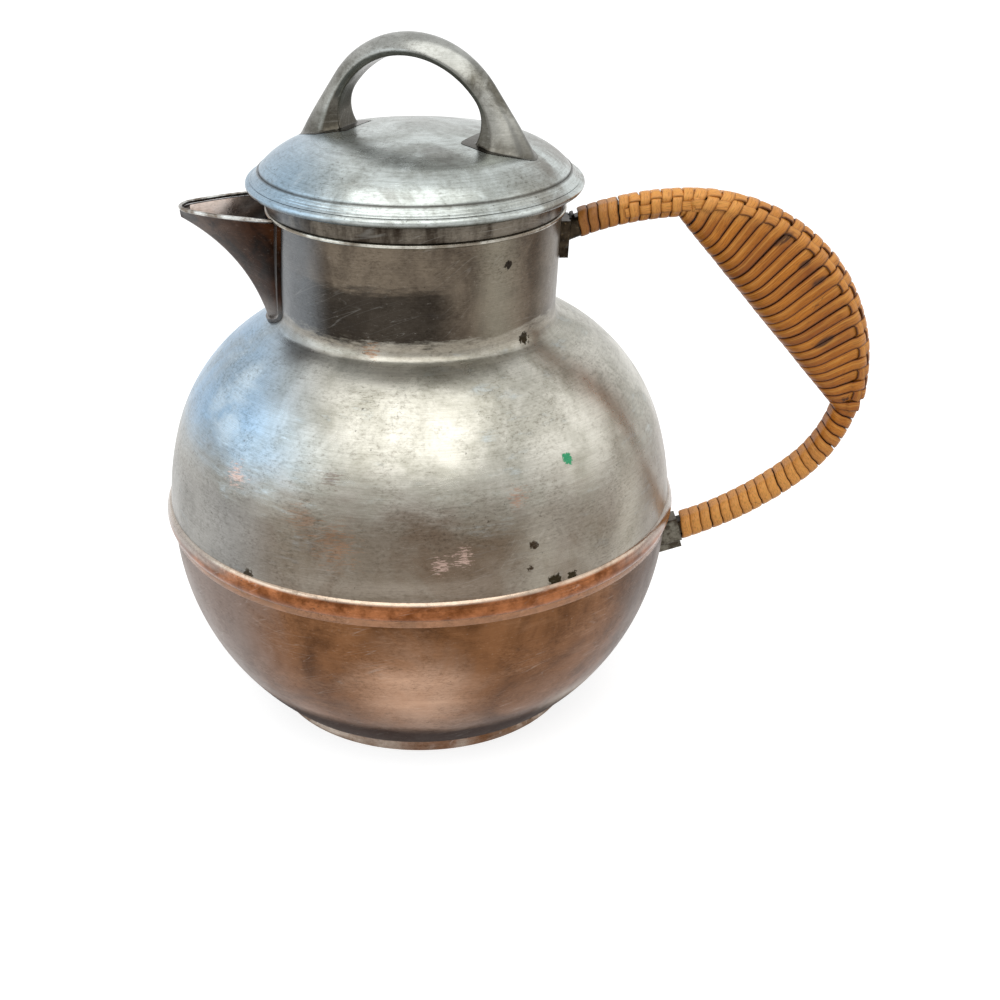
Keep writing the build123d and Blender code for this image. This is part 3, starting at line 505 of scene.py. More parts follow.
def foot_sockets(place):
    x, _, z = axes(place)
    cloud = place.noise(0.06, 6, 0.62)
    shade = cloud.rise(0.4, 0.64).mix((160, 146, 134), (108, 84, 66))
    shade = (x.near(6, 30) * cloud.rise(0.3, 0.5) * 0.7).mix(shade, (112, 72, 46))
    # Painted shade along the ring's top, under the bowl.
    shade = (z.rise(3.6, 4.4) * 0.8).mix(shade, (58, 38, 26))
    return worn_metal(place, shade, spin=0.25, rough=0.3)


outline = np.vstack([
    arc((FOOT_R + FOOT_FLARE - 0.4, 0.4), 0.4, -90, 0, 5),
    [(FOOT_R + FOOT_FLARE, FOOT_TOP * 0.2), (FOOT_R + 0.25, FOOT_TOP * 0.33)],
    [(FOOT_R, FOOT_TOP * 0.45), (FOOT_R, FOOT_TOP - 0.3), (FOOT_R - 0.3, FOOT_TOP)],
    [(FOOT_R - FOOT_WALL, FOOT_TOP)],
    [(FOOT_R - FOOT_WALL, FOOT_TOP * 0.4), (FOOT_R + FOOT_FLARE - FOOT_WALL, 0)],
])
foot = spun("foot_ring_plate", outline, 240, sharp=50)
foot.data.materials.append(finish("worn_foot_plate", foot_sockets))
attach(foot, "kettle_body")
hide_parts("foot_ring")


# Rim band and bead. A flat plated strip stiffens the rim, and a thin half-round wire is soldered
# right under it.

RIM_WALL, RIM_HEIGHT, BEAD_HEIGHT, BEAD_PROUD, GAP = 0.8, 5.6, 1.3, 1.4, 0.1


def rim_sockets(place):
    x, _, z = axes(place)
    cloud = place.scaled(1, 1, 0.4).noise(0.08, 6, 0.65)
    shade = cloud.rise(0.4, 0.62).mix((114, 107, 97), (52, 45, 38))
    # Painted shadow under the lid's rolled edge, with some dirt.
    shade = (z.rise(172.2, 173.1) * 0.6).mix(shade, (46, 40, 34))
    # Painted reflection of a window at the left.
    shade = (x.rise(-28, -42) * 0.5).mix(shade, (128, 138, 146))
    return worn_metal(place, shade, spin=0.3, rough=0.34)


def bead_sockets(place):
    cloud = place.noise(0.1, 5).rise(0.36, 0.6)
    shade = cloud.mix((206, 204, 194), (128, 120, 108))
    return worn_metal(place, shade, spin=0.2, rough=0.22)


band_low = NECK_RIM[1] - RIM_HEIGHT
inner = [(neck_radius(band_low) + GAP, band_low), (NECK_RIM[0] + GAP, NECK_RIM[1])]
low_r, high_r = inner[0][0] + RIM_WALL, inner[1][0] + RIM_WALL
outline = [
    inner[0], (low_r - 0.2, band_low), (low_r, band_low + 0.2),
    (high_r, NECK_RIM[1] - 0.2), (high_r - 0.2, NECK_RIM[1]), inner[1],
]
rim_band = spun("neck_rim_band_plate", outline, 240, sharp=50)
bead_low = band_low - GAP - BEAD_HEIGHT
bead_inner = neck_radius(bead_low + BEAD_HEIGHT) + GAP
crest_r = neck_radius(bead_low) + BEAD_PROUD
outline = np.vstack([
    half_round(bead_inner + RIM_WALL, crest_r, bead_low, bead_low + BEAD_HEIGHT, 9),
    [(bead_inner, bead_low + BEAD_HEIGHT), (bead_inner, bead_low)],
])
bead = spun("neck_bead_wire", outline, 240)
worn_rim = finish("worn_rim_plate", rim_sockets)
worn_bead = finish("bead_plate", bead_sockets)
for piece, node, metal in ((rim_band, "neck_rim_band", worn_rim), (bead, "neck_bead", worn_bead)):
    piece.data.materials.append(metal)
    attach(piece, "kettle_body")
    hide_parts(node)


# Spout. A beak folded from one sheet to a V, soldered to the neck by a turned-out strip, with a
# wire rolled round its open lip. The plate is nearly gone from its sides.

def spout_sockets(place):
    """Dark brown outside and pale inside, where a side faces back to the middle."""
    x, y, z = axes(place)
    cloud = place.noise(0.09, 7, 0.64, 0.5)
    shade = cloud.rise(0.36, 0.66).mix((54, 34, 22), (22, 14, 9))
    shade = (x.rise(-46, -66) * cloud.rise(0.6, 0.4) * 0.5).mix(shade, (90, 72, 60))
    shade = (z.rise(142, 134) * 0.5).mix(shade, (130, 126, 122))
    facing_y = axes(place.node("TexCoord", output="Normal"))[1]
    within = (facing_y * y).rise(-0.5, -2)
    inside = cloud.rise(0.36, 0.6).mix((222, 206, 196), (176, 152, 138))
    shade = (within * 0.9).mix(shade, inside)
    return worn_metal(place, shade, spin=0.2, rough=0.3, pits=0.4, scratched=0.02)


def lip_sockets(place):
    cloud = place.noise(0.12, 5, 0.62)
    shade = cloud.rise(0.44, 0.62).mix((206, 206, 202), (120, 110, 100))
    return worn_metal(place, shade, spin=0.15, rough=0.26)


def dress(node, material):
    """A CAD node keeps its mesh and takes this material in every slot."""
    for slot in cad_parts[node].material_slots:
        slot.material = material


dress("spout_body", finish("worn_spout_copper", spout_sockets))
dress("spout_lip_wire", finish("lip_wire_plate", lip_sockets))


# Lid. A spun dome with a flat crown, a groove at its foot and fine turned rings on the flange,
# rolled over a wire at its edge. A collar soldered inside it drops into the neck.

SEAT_Z = 173.4
EDGE_CENTRE, EDGE_R = (50.1, 174.7), 1.3
CROWN_CENTRE, CROWN_R, CROWN_SPAN = (0.0, 40.3), 150.0, 35.0
DOME_SHOULDER_R, DOME_R = 24.0, 47.0
RING_PLACES, RING_DEPTH, RING_WIDTH = (48.05, 48.75, 49.35), 0.12, 0.13
DOME_STEP = 0.5
crown_lean = math.asin(CROWN_SPAN / CROWN_R)
dome_centre = (CROWN_SPAN - DOME_SHOULDER_R * math.sin(crown_lean),
               CROWN_CENTRE[1] + (CROWN_R - DOME_SHOULDER_R) * math.cos(crown_lean))


def dome_side(sink):
    """The dome's profile, middle to foot: a flat arc, then a rounder one, both sunk by sink."""
    foot = math.degrees(math.acos((DOME_R - sink - dome_centre[0]) / (DOME_SHOULDER_R - sink)))
    return np.vstack([
        arc(CROWN_CENTRE, CROWN_R - sink, 90, 90 - math.degrees(crown_lean), 30),
        arc(dome_centre, DOME_SHOULDER_R - sink, 90 - math.degrees(crown_lean), foot, 20)[1:],
    ])


def lid_sockets(place):
    x, _, z = axes(place)
    cloud = place.noise(0.045, 8, 0.64, 0.8)
    sweep = place.turned(0, 0, 35).scaled(0.3, 1, 1).noise(0.06, 6, 0.6, 0.6)
    shade = cloud.rise(0.38, 0.64).mix((208, 216, 214), (166, 171, 166))
    shade = (sweep.rise(0.54, 0.64) * 0.5).mix(shade, (122, 120, 114))
    # Painted reflection of a window at the left.
    shade = (x.rise(-16, -40) * 0.75).mix(shade, (146, 178, 204))
    shade = (x.rise(18, 44) * cloud.rise(0.35, 0.55) * 0.6).mix(shade, (112, 102, 90))
    # Painted shade in the groove at the dome's foot and under the rolled edge.
    groove = z.near(178.7, 0.7) + z.rise(175.2, 174.0)
    shade = (groove * 0.75).mix(shade, (62, 56, 48))
    return worn_metal(place, shade, spin=0.3, rough=0.28, pits=0.8)


outer_dome, under_dome = dome_side(0), dome_side(SHEET)
step_z = outer_dome[-1][1] - DOME_STEP
flange_r = np.linspace(DOME_R + 0.6, EDGE_CENTRE[0] - 0.8, 40)
flange_z = np.interp(flange_r, flange_r[[0, -1]], (step_z, EDGE_CENTRE[1] + EDGE_R + 0.7))
for place_r in RING_PLACES:
    flange_z -= RING_DEPTH * np.exp(-((flange_r - place_r) / RING_WIDTH) ** 2)
edge_top = EDGE_CENTRE[1] + EDGE_R
outline = np.vstack([
    outer_dome, [(DOME_R + 0.15, step_z - 0.1)], np.column_stack([flange_r, flange_z]),
    [(EDGE_CENTRE[0] - 0.4, edge_top + 0.5), (EDGE_CENTRE[0], edge_top + 0.1)],
    [(EDGE_CENTRE[0] - 1.2, edge_top - 0.25)],
    [(DOME_R, step_z - SHEET), (DOME_R - SHEET, step_z - SHEET)],
    under_dome[::-1],
])
dome = spun("lid_dome_plate", outline, 240, sharp=45)
edge_wire = spun("lid_edge_roll", arc(EDGE_CENTRE, EDGE_R, 0, 345, 24), 240)
COLLAR_R, COLLAR_WALL, COLLAR_DEPTH, SEAT_PLATE = 43.266, 0.9, 10.0, 0.8
plate_r = EDGE_CENTRE[0] - EDGE_R - GAP
collar_inner = COLLAR_R - COLLAR_WALL
collar = spun("lid_collar_plate", [
    (collar_inner, SEAT_Z - COLLAR_DEPTH), (COLLAR_R, SEAT_Z - COLLAR_DEPTH), (COLLAR_R, SEAT_Z),
    (plate_r, SEAT_Z), (plate_r, SEAT_Z + SEAT_PLATE), (collar_inner, SEAT_Z + SEAT_PLATE)], 240)
worn_lid = finish("worn_lid_plate", lid_sockets)
for piece, node in ((dome, "lid_dome"), (edge_wire, "lid_edge_wire"), (collar, "lid_collar")):
    piece.data.materials.append(worn_lid)
    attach(piece, "lid")
    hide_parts(node)


# Lid's strap. A cast arch, flat inside and crowned outside, whose feet flare out and in and are
# soldered to the dome. It stands turned from the spout's line. It has a painted highlight along its
# top, is darker towards its feet, and is painted dark inside the arch as shade.

DOME_TOP, STRAP_RISE = 190.3, 24.5
STRAP_TURN, STRAP_TOP = -27.4, DOME_TOP + STRAP_RISE
HALF_SPAN, STRAP_HEIGHT, STRAP_THICK = 30.0, 31.0, 6.3
TOP_WIDTH, LEG_WIDTH, FOOT_WIDTH = 13.8, 8.7, 20.5
TOE, HEEL, FLARE_DEG = 7.0, 8.2, 36.6


def normed(vectors):
    """The vectors at length 1."""
    return vectors / np.linalg.norm(vectors, axis=-1, keepdims=True)


def strap_grid(rows=121, per_side=16):
    """Sections across an elliptic arch: a flat inside, short slanted sides and an arc outside.

    Width and reach grow by the square of a foot's share of the flare. The corners are rounded by
    averaging each section's points with their neighbours, and the feet are laid on the dome."""
    angle = np.linspace(0, 180, rows)
    flare = np.clip(1 - np.minimum(angle, 180 - angle) / FLARE_DEG, 0, 1) ** 2
    rise, run = np.sin(np.radians(angle)), np.cos(np.radians(angle))
    half = (LEG_WIDTH + (TOP_WIDTH - LEG_WIDTH) * rise**3 + (FOOT_WIDTH - LEG_WIDTH) * flare) / 2
    outer = STRAP_THICK / 2 + TOE * flare
    inner = -STRAP_THICK / 2 - HEEL * flare
    edge = -0.2 * STRAP_THICK
    share = np.linspace(0, 1, per_side, endpoint=False)[None, :]
    bow = (outer - edge)[:, None] * (1 - (2 * share - 1) ** 2)
    half, inner = half[:, None], inner[:, None]
    across = np.hstack([half * (1.6 * share - 0.8), half * (0.8 + 0.2 * share),
                        half * (1 - 2 * share), -half * (1 - 0.2 * share)])
    radial = np.hstack([inner + 0 * share, inner + (edge - inner) * share, edge + bow,
                        edge + (inner - edge) * share])
    for _ in range(4):
        across = (np.roll(across, 1, 1) + 2 * across + np.roll(across, -1, 1)) / 4
        radial = (np.roll(radial, 1, 1) + 2 * radial + np.roll(radial, -1, 1)) / 4
    out = normed(np.column_stack([STRAP_HEIGHT * run, HALF_SPAN * rise]))
    x = (HALF_SPAN * run)[:, None] + out[:, :1] * radial
    z = (STRAP_TOP - STRAP_HEIGHT * (1 - rise))[:, None] + out[:, 1:] * radial
    turn = math.radians(STRAP_TURN)
    grid = np.stack([x * math.cos(turn) - across * math.sin(turn),
                     x * math.sin(turn) + across * math.cos(turn), z], axis=-1)
    r = np.hypot(grid[..., 0], grid[..., 1])
    dome_z = np.interp(r, outer_dome[:, 0], outer_dome[:, 1])
    grid[..., 2] = np.maximum(grid[..., 2], dome_z + 0.1)
    return grid


def strap_sockets(place):
    x, y, z = axes(place)
    cloud = place.noise(0.09, 7, 0.62, 0.4)
    shade = cloud.rise(0.38, 0.62).mix((160, 160, 154), (100, 98, 90))
    # A painted highlight along the top of the arch.
    shade = (z.rise(206, 214) * 0.5).mix(shade, (184, 187, 184))
    shade = (z.rise(198, 188) * 0.6).mix(shade, (92, 90, 84))
    turn = math.radians(STRAP_TURN)
    along = x * math.cos(turn) + y * math.sin(turn)
    rise = z - (STRAP_TOP - STRAP_HEIGHT)
    reach = along * along * (1 / HALF_SPAN**2) + rise * rise * (1 / STRAP_HEIGHT**2)
    # Painted shade inside the arch.
    within = (reach + (cloud - 0.5) * 0.2).rise(0.95, 0.86)
    shade = (within * 0.85).mix(shade, (72, 68, 60))
    return worn_metal(place.turned(0, 0, 27), shade, spin=0.15, rough=0.26, pits=0.5)


arch = strap_grid()
caps = []
for end in (arch[:1], arch[-1:]):
    middle = end.mean(axis=1, keepdims=True) + 0 * end
    caps.append((np.vstack([middle, end]), False, True))
strap = surface("lid_strap_cast", (arch, False, True), *caps, sharp=60)
strap.data.materials.append(finish("strap_plate", strap_sockets))
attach(strap, "lid")
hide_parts("lid_handle")


# Handle's bar and fixings. A flat brass bar bent to a hoop, held by a fluted plate on the neck,
# with a ferrule, and by a block and shelf on the bowl. It is tarnished dark above, grey below.

def brass_sockets(place):
    cloud = place.noise(0.25, 7, 0.66, 0.5)
    shade = cloud.rise(0.36, 0.66).mix((62, 54, 44), (30, 25, 20))
    shade = (place.noise(0.8, 4, 0.6).rise(0.58, 0.7) * 0.4).mix(shade, (120, 102, 76))
    return worn_metal(place, shade, spin=0.1, rough=0.36, pits=0.5)


def stub_sockets(place):
    cloud = place.noise(0.3, 6, 0.62)
    shade = cloud.rise(0.4, 0.62).mix((108, 104, 94), (66, 60, 52))
    return worn_metal(place, shade, spin=0.1, rough=0.34, pits=0.5)


dark_brass = finish("dark_brass", brass_sockets)
for node in ("upper_bracket", "upper_ferrule", "handle_hoop"):
    dress(node, dark_brass)
grey_brass = finish("grey_green_brass", stub_sockets)
for node in ("lower_bracket", "lower_stub"):
    dress(node, grey_brass)


# Swell of the grip. A slip of wood let in between the bar and the hand, its brown painted dark as
# shade where it shows between the strands.

def wood_sockets(place):
    grain = place.turned(0, 45, 0).scaled(0.25, 1, 1).noise(0.9, 6, 0.6, 0.6)
    # A dark brown grain, which also stands as painted shade in the gaps between the strands.
    shade = grain.rise(0.35, 0.65).mix((112, 66, 26), (60, 34, 14))
    bump = place.node("Bump", None, {"Strength": 0.4, "Distance": 0.0001, "Height": grain})
    return {"Base Color": shade, "Roughness": 0.75 - grain * 0.15, "Normal": bump}


dress("grip_core", finish("wood_with_gap_shade", wood_sockets))


# Cane winding. One flat strand of varnished cane for each run of the handle, wound round and
# round in touching turns: over the bar from the neck, over the swell, and down to the bowl. Two
# more strips lie lengthwise on the back's near edge and are woven over and under the turns.

BAR_DEPTH, BAR_WIDTH, BAR_CORNER = 5.0, 7.0, 1.6
GRIP_ARC_R, GRIP_END_DEG, GRIP_SWELL = 57.0, -8.6, 2.8
GRIP_THICK, GRIP_END_THICK, GRIP_ROUND, GRIP_END_ROUND = 15.0, 8.0, 6.8, 2.0
STUB_REACH, GLOBE_R = 5.6, 82.1
BELOW_TOP = ((57.0, 95.0), (44.0, 45.0), (110.0, 23.0))
START_DEG, START_Z, START_OFF = 21.5, 159.6, 3.0
CANE_THICK, CANE_LIFT, CANE_COVER = 1.1, 0.3, 0.99
SHIFT_SPREAD, NARROWEST, LIFT_SPREAD = 0.035, 0.94, 0.14
STRIP_WIDTH, STRIP_THICK, STRIP_CLEAR, STRIP_STEPS = 3.1, 0.8, 0.12, 14
STRIP_WAYS = ((2.9, 0.7), (6.3, 1.5))
WEAVE_RISE, WEAVE_SIDE, FIBRE_REPEAT = 0.95, 0.9, 60
UPPER, GRIP, LOWER = "cane_wrap_upper", "cane_wrap_grip", "cane_wrap_lower"
STRIP_ENDS = {UPPER: (0.36, 0.9), GRIP: (0.005, 0.985)}
TURNS = {UPPER: 11, GRIP: 24, LOWER: 21}
BEGINS = {UPPER: -0.5, GRIP: -0.5, LOWER: 0.0}
GOES_ON = {UPPER: 0.5, GRIP: 0.85, LOWER: 0.0}
WOVEN_FROM = {UPPER: 0.34, GRIP: -1.0, LOWER: 2.0}
UPPER_START, UPPER_LAP, LOWER_LAP, LOWER_PAST = 3.4, 3.4, 4.2, 0.5
SCORCHED = (((112.9, -6.5, 156.9), 5.5), ((125.2, -6.5, 143.5), 5.0),
            ((129.3, -6.5, 123.2), 6.0), ((120.2, -6.5, 149.1), 4.0))
STEPS = 64


def unit(degrees):
    """Unit vectors (x, z) at angles in degrees."""
    turn = np.radians(degrees)
    return np.stack([np.cos(turn), np.sin(turn)], axis=-1)


start_x = neck_radius(START_Z) + START_OFF
heading, reach = 0.0, 0.0
for radius, turn in BELOW_TOP:
    reach += radius * (math.sin(math.radians(heading + turn)) - math.sin(math.radians(heading)))
    heading += turn
upper_r = (GLOBE_R + STUB_REACH - reach - start_x) / math.sin(math.radians(START_DEG))
ARCS = []
point, heading = np.array([start_x, START_Z]), START_DEG
for radius, turn in ((upper_r, START_DEG),) + BELOW_TOP:
    centre = point + radius * unit(heading - 90)
    ARCS.append((centre, radius, heading, math.radians(turn) * radius))
    point = centre + radius * unit(heading + 90 - turn)
    heading -= turn
arc_ends = np.cumsum([length for _, _, _, length in ARCS])
grip_centre = ARCS[1][0]


def hoop(length):
    """Points and outward directions on the hoop's centre line, which is four arcs in a row."""
    which = np.clip(np.searchsorted(arc_ends, length), 0, len(ARCS) - 1)
    centres = np.array([one[0] for one in ARCS])[which]
    radii, headings, lengths = (np.array([one[i] for one in ARCS])[which] for i in (1, 2, 3))
    done = length - (arc_ends[which] - lengths)
    out = unit(headings + 90 - np.degrees(done / radii))
    return centres + radii[..., None] * out, out


def run_frame(start, end):
    """Section of the bare bar between two lengths along the hoop, for places from 0 to 1."""
    def section(place):
        middle, out = hoop(start + (end - start) * place)
        same = np.ones_like(place)
        return middle, out, BAR_DEPTH * same, BAR_WIDTH * same, BAR_CORNER * same

    return section


def grip_section(place):
    """Section of the swell: from a chord between its ends to the bar's outer side.

    Both are divided evenly, so the sections fan. Thickness and corners swell as a half sine."""
    chord_start = grip_centre + (GRIP_ARC_R - BAR_DEPTH / 2) * unit(90)
    chord = grip_centre + (GRIP_ARC_R - BAR_DEPTH / 2) * unit(GRIP_END_DEG) - chord_start
    aside = np.array([chord[1], -chord[0]]) / np.hypot(*chord)
    inner = chord_start + chord * place[..., None] + aside * GRIP_SWELL
    outer = grip_centre + (GRIP_ARC_R + BAR_DEPTH / 2) * unit(90 + (GRIP_END_DEG - 90) * place)
    bulge = np.sin(np.pi * np.clip(place, 0, 1))
    span = outer - inner
    depth = np.linalg.norm(span, axis=-1)
    thick = GRIP_END_THICK + (GRIP_THICK - GRIP_END_THICK) * bulge
    corner = GRIP_END_ROUND + (GRIP_ROUND - GRIP_END_ROUND) * bulge
    return (inner + outer) / 2, span / depth[..., None], depth, thick, corner


def girth(depth, thick, corner, lift):
    """Length of the way round an oblong section, lift off it."""
    return 4 * ((depth + thick) / 2 - 2 * corner + (corner + lift) * math.pi / 2)


def oblong(depth, thick, corner, share, lift):
    """Radial and across place, and the facing angle, at a share of the way round an oblong.

    It starts in the middle of the outer side and takes a flat, then a corner, in turn."""
    flat_r, flat_y, bend = depth / 2 - corner, thick / 2 - corner, corner + lift
    quarter = bend * math.pi / 2
    mirrored = share > 0.5
    way = np.where(mirrored, 1 - share, share) * girth(depth, thick, corner, lift)
    first = np.clip(way, 0, flat_y)
    corner_1 = np.clip(way - flat_y, 0, quarter)
    side = np.clip(way - flat_y - quarter, 0, 2 * flat_r)
    corner_2 = np.clip(way - flat_y - quarter - 2 * flat_r, 0, quarter)
    last = np.clip(way - flat_y - 2 * quarter - 2 * flat_r, 0, flat_y)
    angle = (corner_1 + corner_2) / quarter * math.pi / 2
    radial = flat_r - side + bend * np.cos(angle)
    across = first + bend * np.sin(angle) - last
    across = np.where(mirrored, -across, across)
    return radial, across, np.where(mirrored, 2 * math.pi - angle, angle)


def on_core(section, place, share, lift):
    """Points on the rounded core, lift off it, the unit vectors that they face and their angle."""
    middle, out, depth, thick, corner = section(place)
    radial, across, angle = oblong(depth, thick, corner, share, lift)
    flat = middle + out * radial[..., None]
    lean = np.cos(angle)
    facing = np.stack([out[..., 0] * lean, np.sin(angle), out[..., 1] * lean], axis=-1)
    return np.stack([flat[..., 0], across, flat[..., 1]], axis=-1), facing, angle


def flat_strand(name, centre, along, facing, width, thick, run, points=16):
    """A flat strand: a squarish oval carried along its way and closed at both ends.

    Its uv values are the run along it and the share of the way round it."""
    turn = np.linspace(0, 2 * math.pi, points, endpoint=False)
    side = np.sign(np.cos(turn)) * np.abs(np.cos(turn)) ** 0.6
    rise = np.sign(np.sin(turn)) * np.abs(np.sin(turn)) ** 0.5
    grid = (centre[:, None] + along[:, None] * (width / 2)[:, None, None] * side[None, :, None]
            + facing[:, None] * (thick / 2) * rise[None, :, None])
    grid = np.concatenate([centre[:1, None] + 0 * grid[:1], grid, centre[-1:, None] + 0 * grid[:1]])
    rows = np.concatenate([run[:1], run, run[-1:]])
    uv = np.stack(np.meshgrid(rows, np.linspace(0, 1, points + 1), indexing="ij"), axis=-1)
    return surface(name, (grid, False, True, uv), sharp=60)


def strip_share(strip, section, place, lift):
    """Share of the way round where a lengthwise strip lies: on the near side of the back."""
    _, _, depth, thick, corner = section(place)
    way, swell = STRIP_WAYS[strip]
    swollen = (thick - BAR_WIDTH) / (GRIP_THICK - BAR_WIDTH)
    return 1 - (way + swell * swollen) / girth(depth, thick, corner, lift)


def weave_over(share, section, place, lift, crossing, strip):
    """How far a turn is lifted by the strip below it: 1 on top of the strip, 0 off it."""
    _, _, depth, thick, corner = section(place)
    around = girth(depth, thick, corner, lift)
    off = np.abs(share - strip_share(strip, section, place, lift)) * around
    beside = np.clip((STRIP_WIDTH / 2 + WEAVE_SIDE - off) / WEAVE_SIDE, 0, 1)
    return beside * beside * (3 - 2 * beside) * ((crossing + strip) % 2 == 0)


def winding(name, section, turns, woven_from, draws):
    """One strand round a core in even turns, a little uneven in width, height and slant.

    Its width is the distance between the places half a strand before and after it, so it narrows
    where the turns fan together."""
    half = CANE_COVER / (turns + CANE_COVER) / 2
    begin, end = BEGINS[name], turns + GOES_ON[name]
    count = np.linspace(begin, end, int((end - begin) * STEPS) + 1)
    nth = np.floor(count)
    share = np.clip(count - nth, 0, 0.999999)
    mid_lift = CANE_LIFT + CANE_THICK / 2
    nominal = half + (1 - 2 * half) * count / turns
    angle = on_core(section, nominal, share, mid_lift)[2]

    def by_turn(values):
        return np.interp(count, np.arange(turns + 1), values)

    shift = by_turn(draws.normal(0, SHIFT_SPREAD, turns + 1))
    uneven = by_turn(draws.uniform(NARROWEST, 1.0, turns + 1))
    place = half + (1 - 2 * half) * (nth + angle / (2 * math.pi)) / turns + shift / turns
    lift = mid_lift + by_turn(draws.uniform(0, LIFT_SPREAD, turns + 1))
    centre, facing, _ = on_core(section, place, share, lift)
    for strip in range(len(STRIP_WAYS)):
        raised = weave_over(share, section, place, lift, np.round(count), strip)
        raised = raised * (place > woven_from)
        centre = centre + facing * (WEAVE_RISE * raised)[:, None]
    low = on_core(section, place - half, share, lift)[0]
    high = on_core(section, place + half, share, lift)[0]
    width = np.linalg.norm(high - low, axis=-1)
    along = (high - low) / width[:, None]
    facing = normed(facing - along * np.sum(facing * along, axis=-1, keepdims=True))
    return flat_strand(name + "_strand", centre, along, facing, width * uneven, CANE_THICK, count)


def cane_sockets(place):
    """Varnished cane: long fibres, a tone for each turn, darker towards the neck and a few scorched
    places. It is painted lighter where it faces up and along each crest as light, and darker at each
    strand's sides as shade.
    """
    where = place.node("UVMap")
    side = axes(where)[1]
    turn = where.scaled(1, 0, 0)
    fibre = where.scaled(26, 46, 0).noise(1.0, 5, 0.65)
    lengthwise = where.scaled(5, 30, 0).noise(1.0, 4, 0.6)
    tone = turn.noise(1.7, 3, 0.6)
    shade = tone.rise(0.34, 0.66).mix((196, 118, 32), (152, 84, 16))
    x, _, z = axes(place)
    # Painted light: lighter on the lower run and on top of the upper run, where they face up.
    pale = z.rise(96, 70) + z.rise(160, 172) * x.rise(112, 92)
    shade = (pale * 0.75).mix(shade, (248, 174, 92))
    # Painted light along the grip's outer edge, which faces up.
    off = place.moved((grip_centre[0], 0, grip_centre[1])).scaled(1, 0, 1)
    rim = off.node("VectorMath", {"operation": "LENGTH"}, {0: off}, 1).rise(52, 60) * z.rise(96, 130)
    shade = (rim * 0.5).mix(shade, (238, 164, 84))
    shade = (fibre.rise(0.45, 0.66) * 0.5).mix(shade, (96, 50, 10))
    # A painted highlight along each strand's crest.
    crest = side.near(0.31, 0.09) * lengthwise.rise(0.4, 0.6)
    shade = (crest * 0.45).mix(shade, (240, 176, 88))
    shade = (x.rise(66, 52) * 0.5).mix(shade, (112, 62, 24))
    # Painted shade at each strand's sides, deepest on its lower side and weaker where painted light
    # lies.
    edge_shade = 0.9 - pale * 0.55
    shade = ((0.25 - side).rise(0.04, 0.19) * edge_shade).mix(shade, (66, 32, 6))
    shade = ((side - 0.25).rise(0.12, 0.22) * edge_shade).mix(shade, (84, 42, 10))
    marks = where.scaled(2.6, 1.5, 0).noise(1.0, 5, 0.7).rise(0.66, 0.7)
    for centre, reach in SCORCHED:
        away = place.moved(centre).turned(0, 34, 0).scaled(1 / reach, 0.2, 0.5)
        marks = marks + away.spot((0, 0, 0), 1.0).rise(0.05, 0.4) * fibre.rise(0.7, 0.45)
    shade = (marks * 0.9).mix(shade, (62, 42, 32))
    height = fibre * 0.6 + lengthwise * 0.6 + marks * -0.4
    return {
        "Base Color": shade,
        "Roughness": 0.34 + fibre * 0.2 + marks * 0.15,
        "Specular IOR Level": 0.3,
        "Coat Weight": 0.12 - marks * 0.1,
        "Coat Roughness": 0.25,
        "Normal": place.node("Bump", None, {"Strength": 0.55, "Distance": 0.00012, "Height": height}),
    }


grip_end = arc_ends[0] + math.radians(90 - GRIP_END_DEG) * GRIP_ARC_R
RUNS = {
    UPPER: run_frame(UPPER_START, arc_ends[0] + UPPER_LAP),
    GRIP: grip_section,
    LOWER: run_frame(grip_end - LOWER_LAP, arc_ends[-1] + LOWER_PAST),
}
draws = np.random.default_rng(23)
cane = finish("varnished_cane", cane_sockets)
for node, section in RUNS.items():
    strand = winding(node, section, TURNS[node], WOVEN_FROM[node], draws)
    strand.data.materials.append(cane)
    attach(strand, "kettle_body")
    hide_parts(node)


def strip_line(strip, run):
    """One lengthwise strip on the back of a run: up over every other turn and down between."""
    section, turns, (low, high) = RUNS[run], TURNS[run], STRIP_ENDS[run]
    half = CANE_COVER / (turns + CANE_COVER) / 2
    place = np.linspace(low, high, int((high - low) * turns * STRIP_STEPS))
    lowest = CANE_LIFT + STRIP_THICK / 2
    share = strip_share(strip, section, place, lowest)
    angle = on_core(section, place, share, lowest)[2]
    count = (place - half) / (1 - 2 * half) * turns + 1 - angle / (2 * math.pi)
    over = 0.5 - 0.5 * np.clip(1.7 * np.cos(np.pi * (count + strip)), -1, 1)
    return on_core(section, place, share, lowest + (CANE_THICK + STRIP_CLEAR) * over)[:2]


for strip, name in enumerate(("cane_strip_back", "cane_strip_side")):
    parts = zip(strip_line(strip, UPPER), strip_line(strip, GRIP))
    line, facing = (np.vstack(pair) for pair in parts)
    onward = np.gradient(line, axis=0)
    across = normed(np.cross(onward, facing))
    facing = normed(np.cross(across, onward))
    steps = np.linalg.norm(np.diff(line, axis=0), axis=1)
    travelled = np.concatenate([[0], np.cumsum(steps)]) / FIBRE_REPEAT
    width = np.full(len(line), STRIP_WIDTH)
    piece = flat_strand(name, line, across, facing, width, STRIP_THICK, travelled)
    piece.data.materials.append(cane)
    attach(piece, "kettle_body")


# Floor and light. A plain pale floor that glows into a white surround, a large soft key lamp over
# the camera, a cool one at the left as from a window, and a weak warm one at the right.

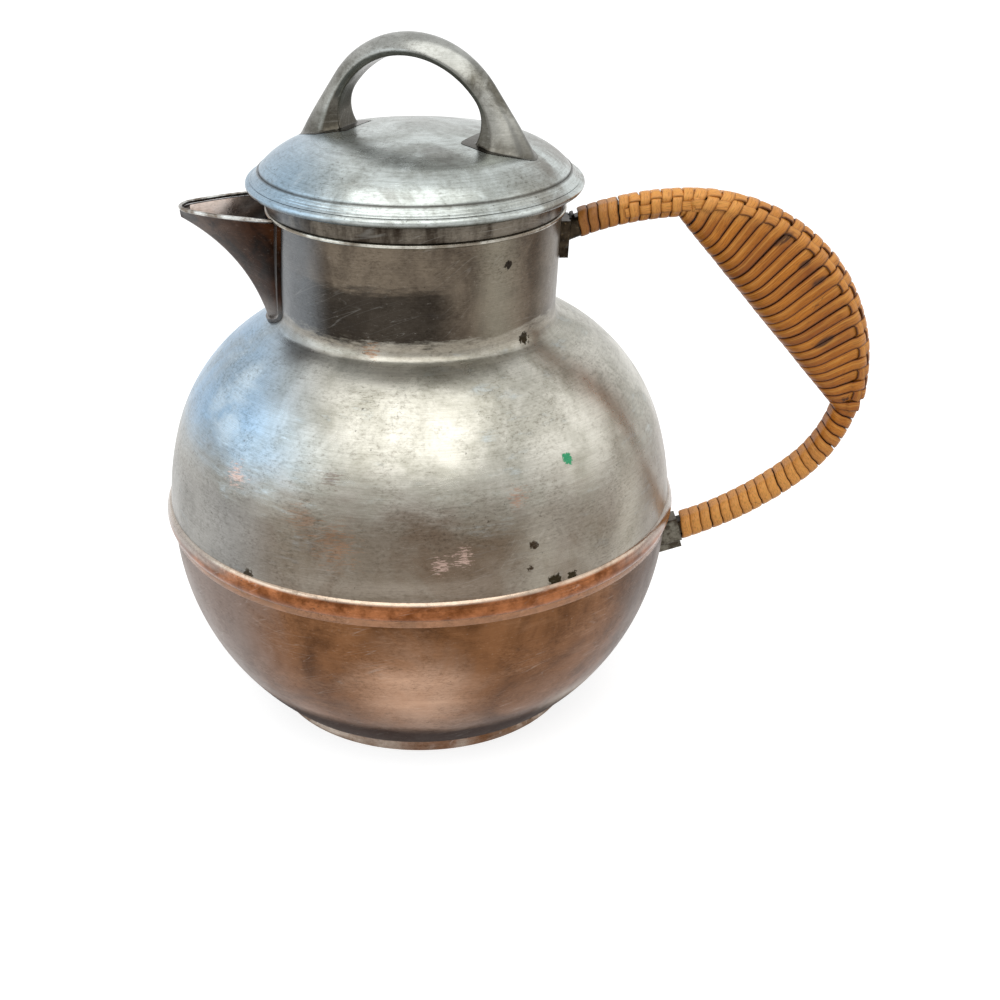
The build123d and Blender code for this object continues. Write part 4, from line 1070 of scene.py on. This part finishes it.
FLOOR_R, FLOOR_GREY, FLOOR_GLOW = 3000, 0.5, 0.78
SKY_SHOWN, SKY_LIGHT = 0.35, 0.65
ring = np.linspace(0, 2 * math.pi, 64, endpoint=False)[None, :]
radii = np.array([[0.0], [FLOOR_R]])
grid = np.stack([radii * np.cos(ring), radii * np.sin(ring), 0 * radii * ring], axis=-1)
floor = surface("floor", (grid, False, True))
floor_material = bpy.data.materials.new("pale_floor")
floor_material.use_nodes = True
floor_shader = floor_material.node_tree.nodes["Principled BSDF"]
floor_shader.inputs["Base Color"].default_value = (FLOOR_GREY, FLOOR_GREY, FLOOR_GREY, 1)
floor_shader.inputs["Roughness"].default_value = 0.9
floor.data.materials.append(floor_material)


def shown_rays(tree):
    """1 for the rays that show the surround: the camera's, and those off metal or through glass."""
    rays = Link(tree).node("LightPath").socket.node
    kinds = ("Is Camera Ray", "Is Glossy Ray", "Is Transmission Ray")
    seen = [Link(tree, rays.outputs[kind]) for kind in kinds]
    return seen[0].maths("MINIMUM", seen[0] + seen[1] + seen[2], 1.0)


glow = shown_rays(floor_material.node_tree) * FLOOR_GLOW
floor_shader.inputs["Emission Color"].default_value = (1, 1, 1, 1)
floor_material.node_tree.links.new(glow.socket, floor_shader.inputs["Emission Strength"])

world = bpy.data.worlds.new("studio")
world.use_nodes = True
bpy.context.scene.world = world
background = world.node_tree.nodes["Background"]
sky = shown_rays(world.node_tree) * SKY_SHOWN + SKY_LIGHT
world.node_tree.links.new(sky.socket, background.inputs["Strength"])
background.inputs["Color"].default_value = (1, 1, 1, 1)


def lamp(name, place, size, power, tint):
    """A square soft lamp in metres and watts that faces the middle of the jug."""
    data = bpy.data.lights.new(name, "AREA")
    data.size, data.energy, data.color = size, power, tint
    light = bpy.data.objects.new(name, data)
    bpy.context.scene.collection.objects.link(light)
    light.location = place
    light.rotation_euler = (Vector((0, 0, 0.1)) - Vector(place)).to_track_quat("-Z", "Y").to_euler()


lamp("key_lamp", (-0.05, -0.5, 1.2), 1.3, 6.4, (1.0, 0.99, 0.96))
lamp("window_lamp", (-1.2, -0.3, 0.6), 1.1, 3.5, (0.8, 0.91, 1.0))
lamp("right_lamp", (1.2, -0.1, 0.7), 1.1, 1.5, (1.0, 0.97, 0.92))

bpy.context.scene.view_settings.view_transform = "Standard"
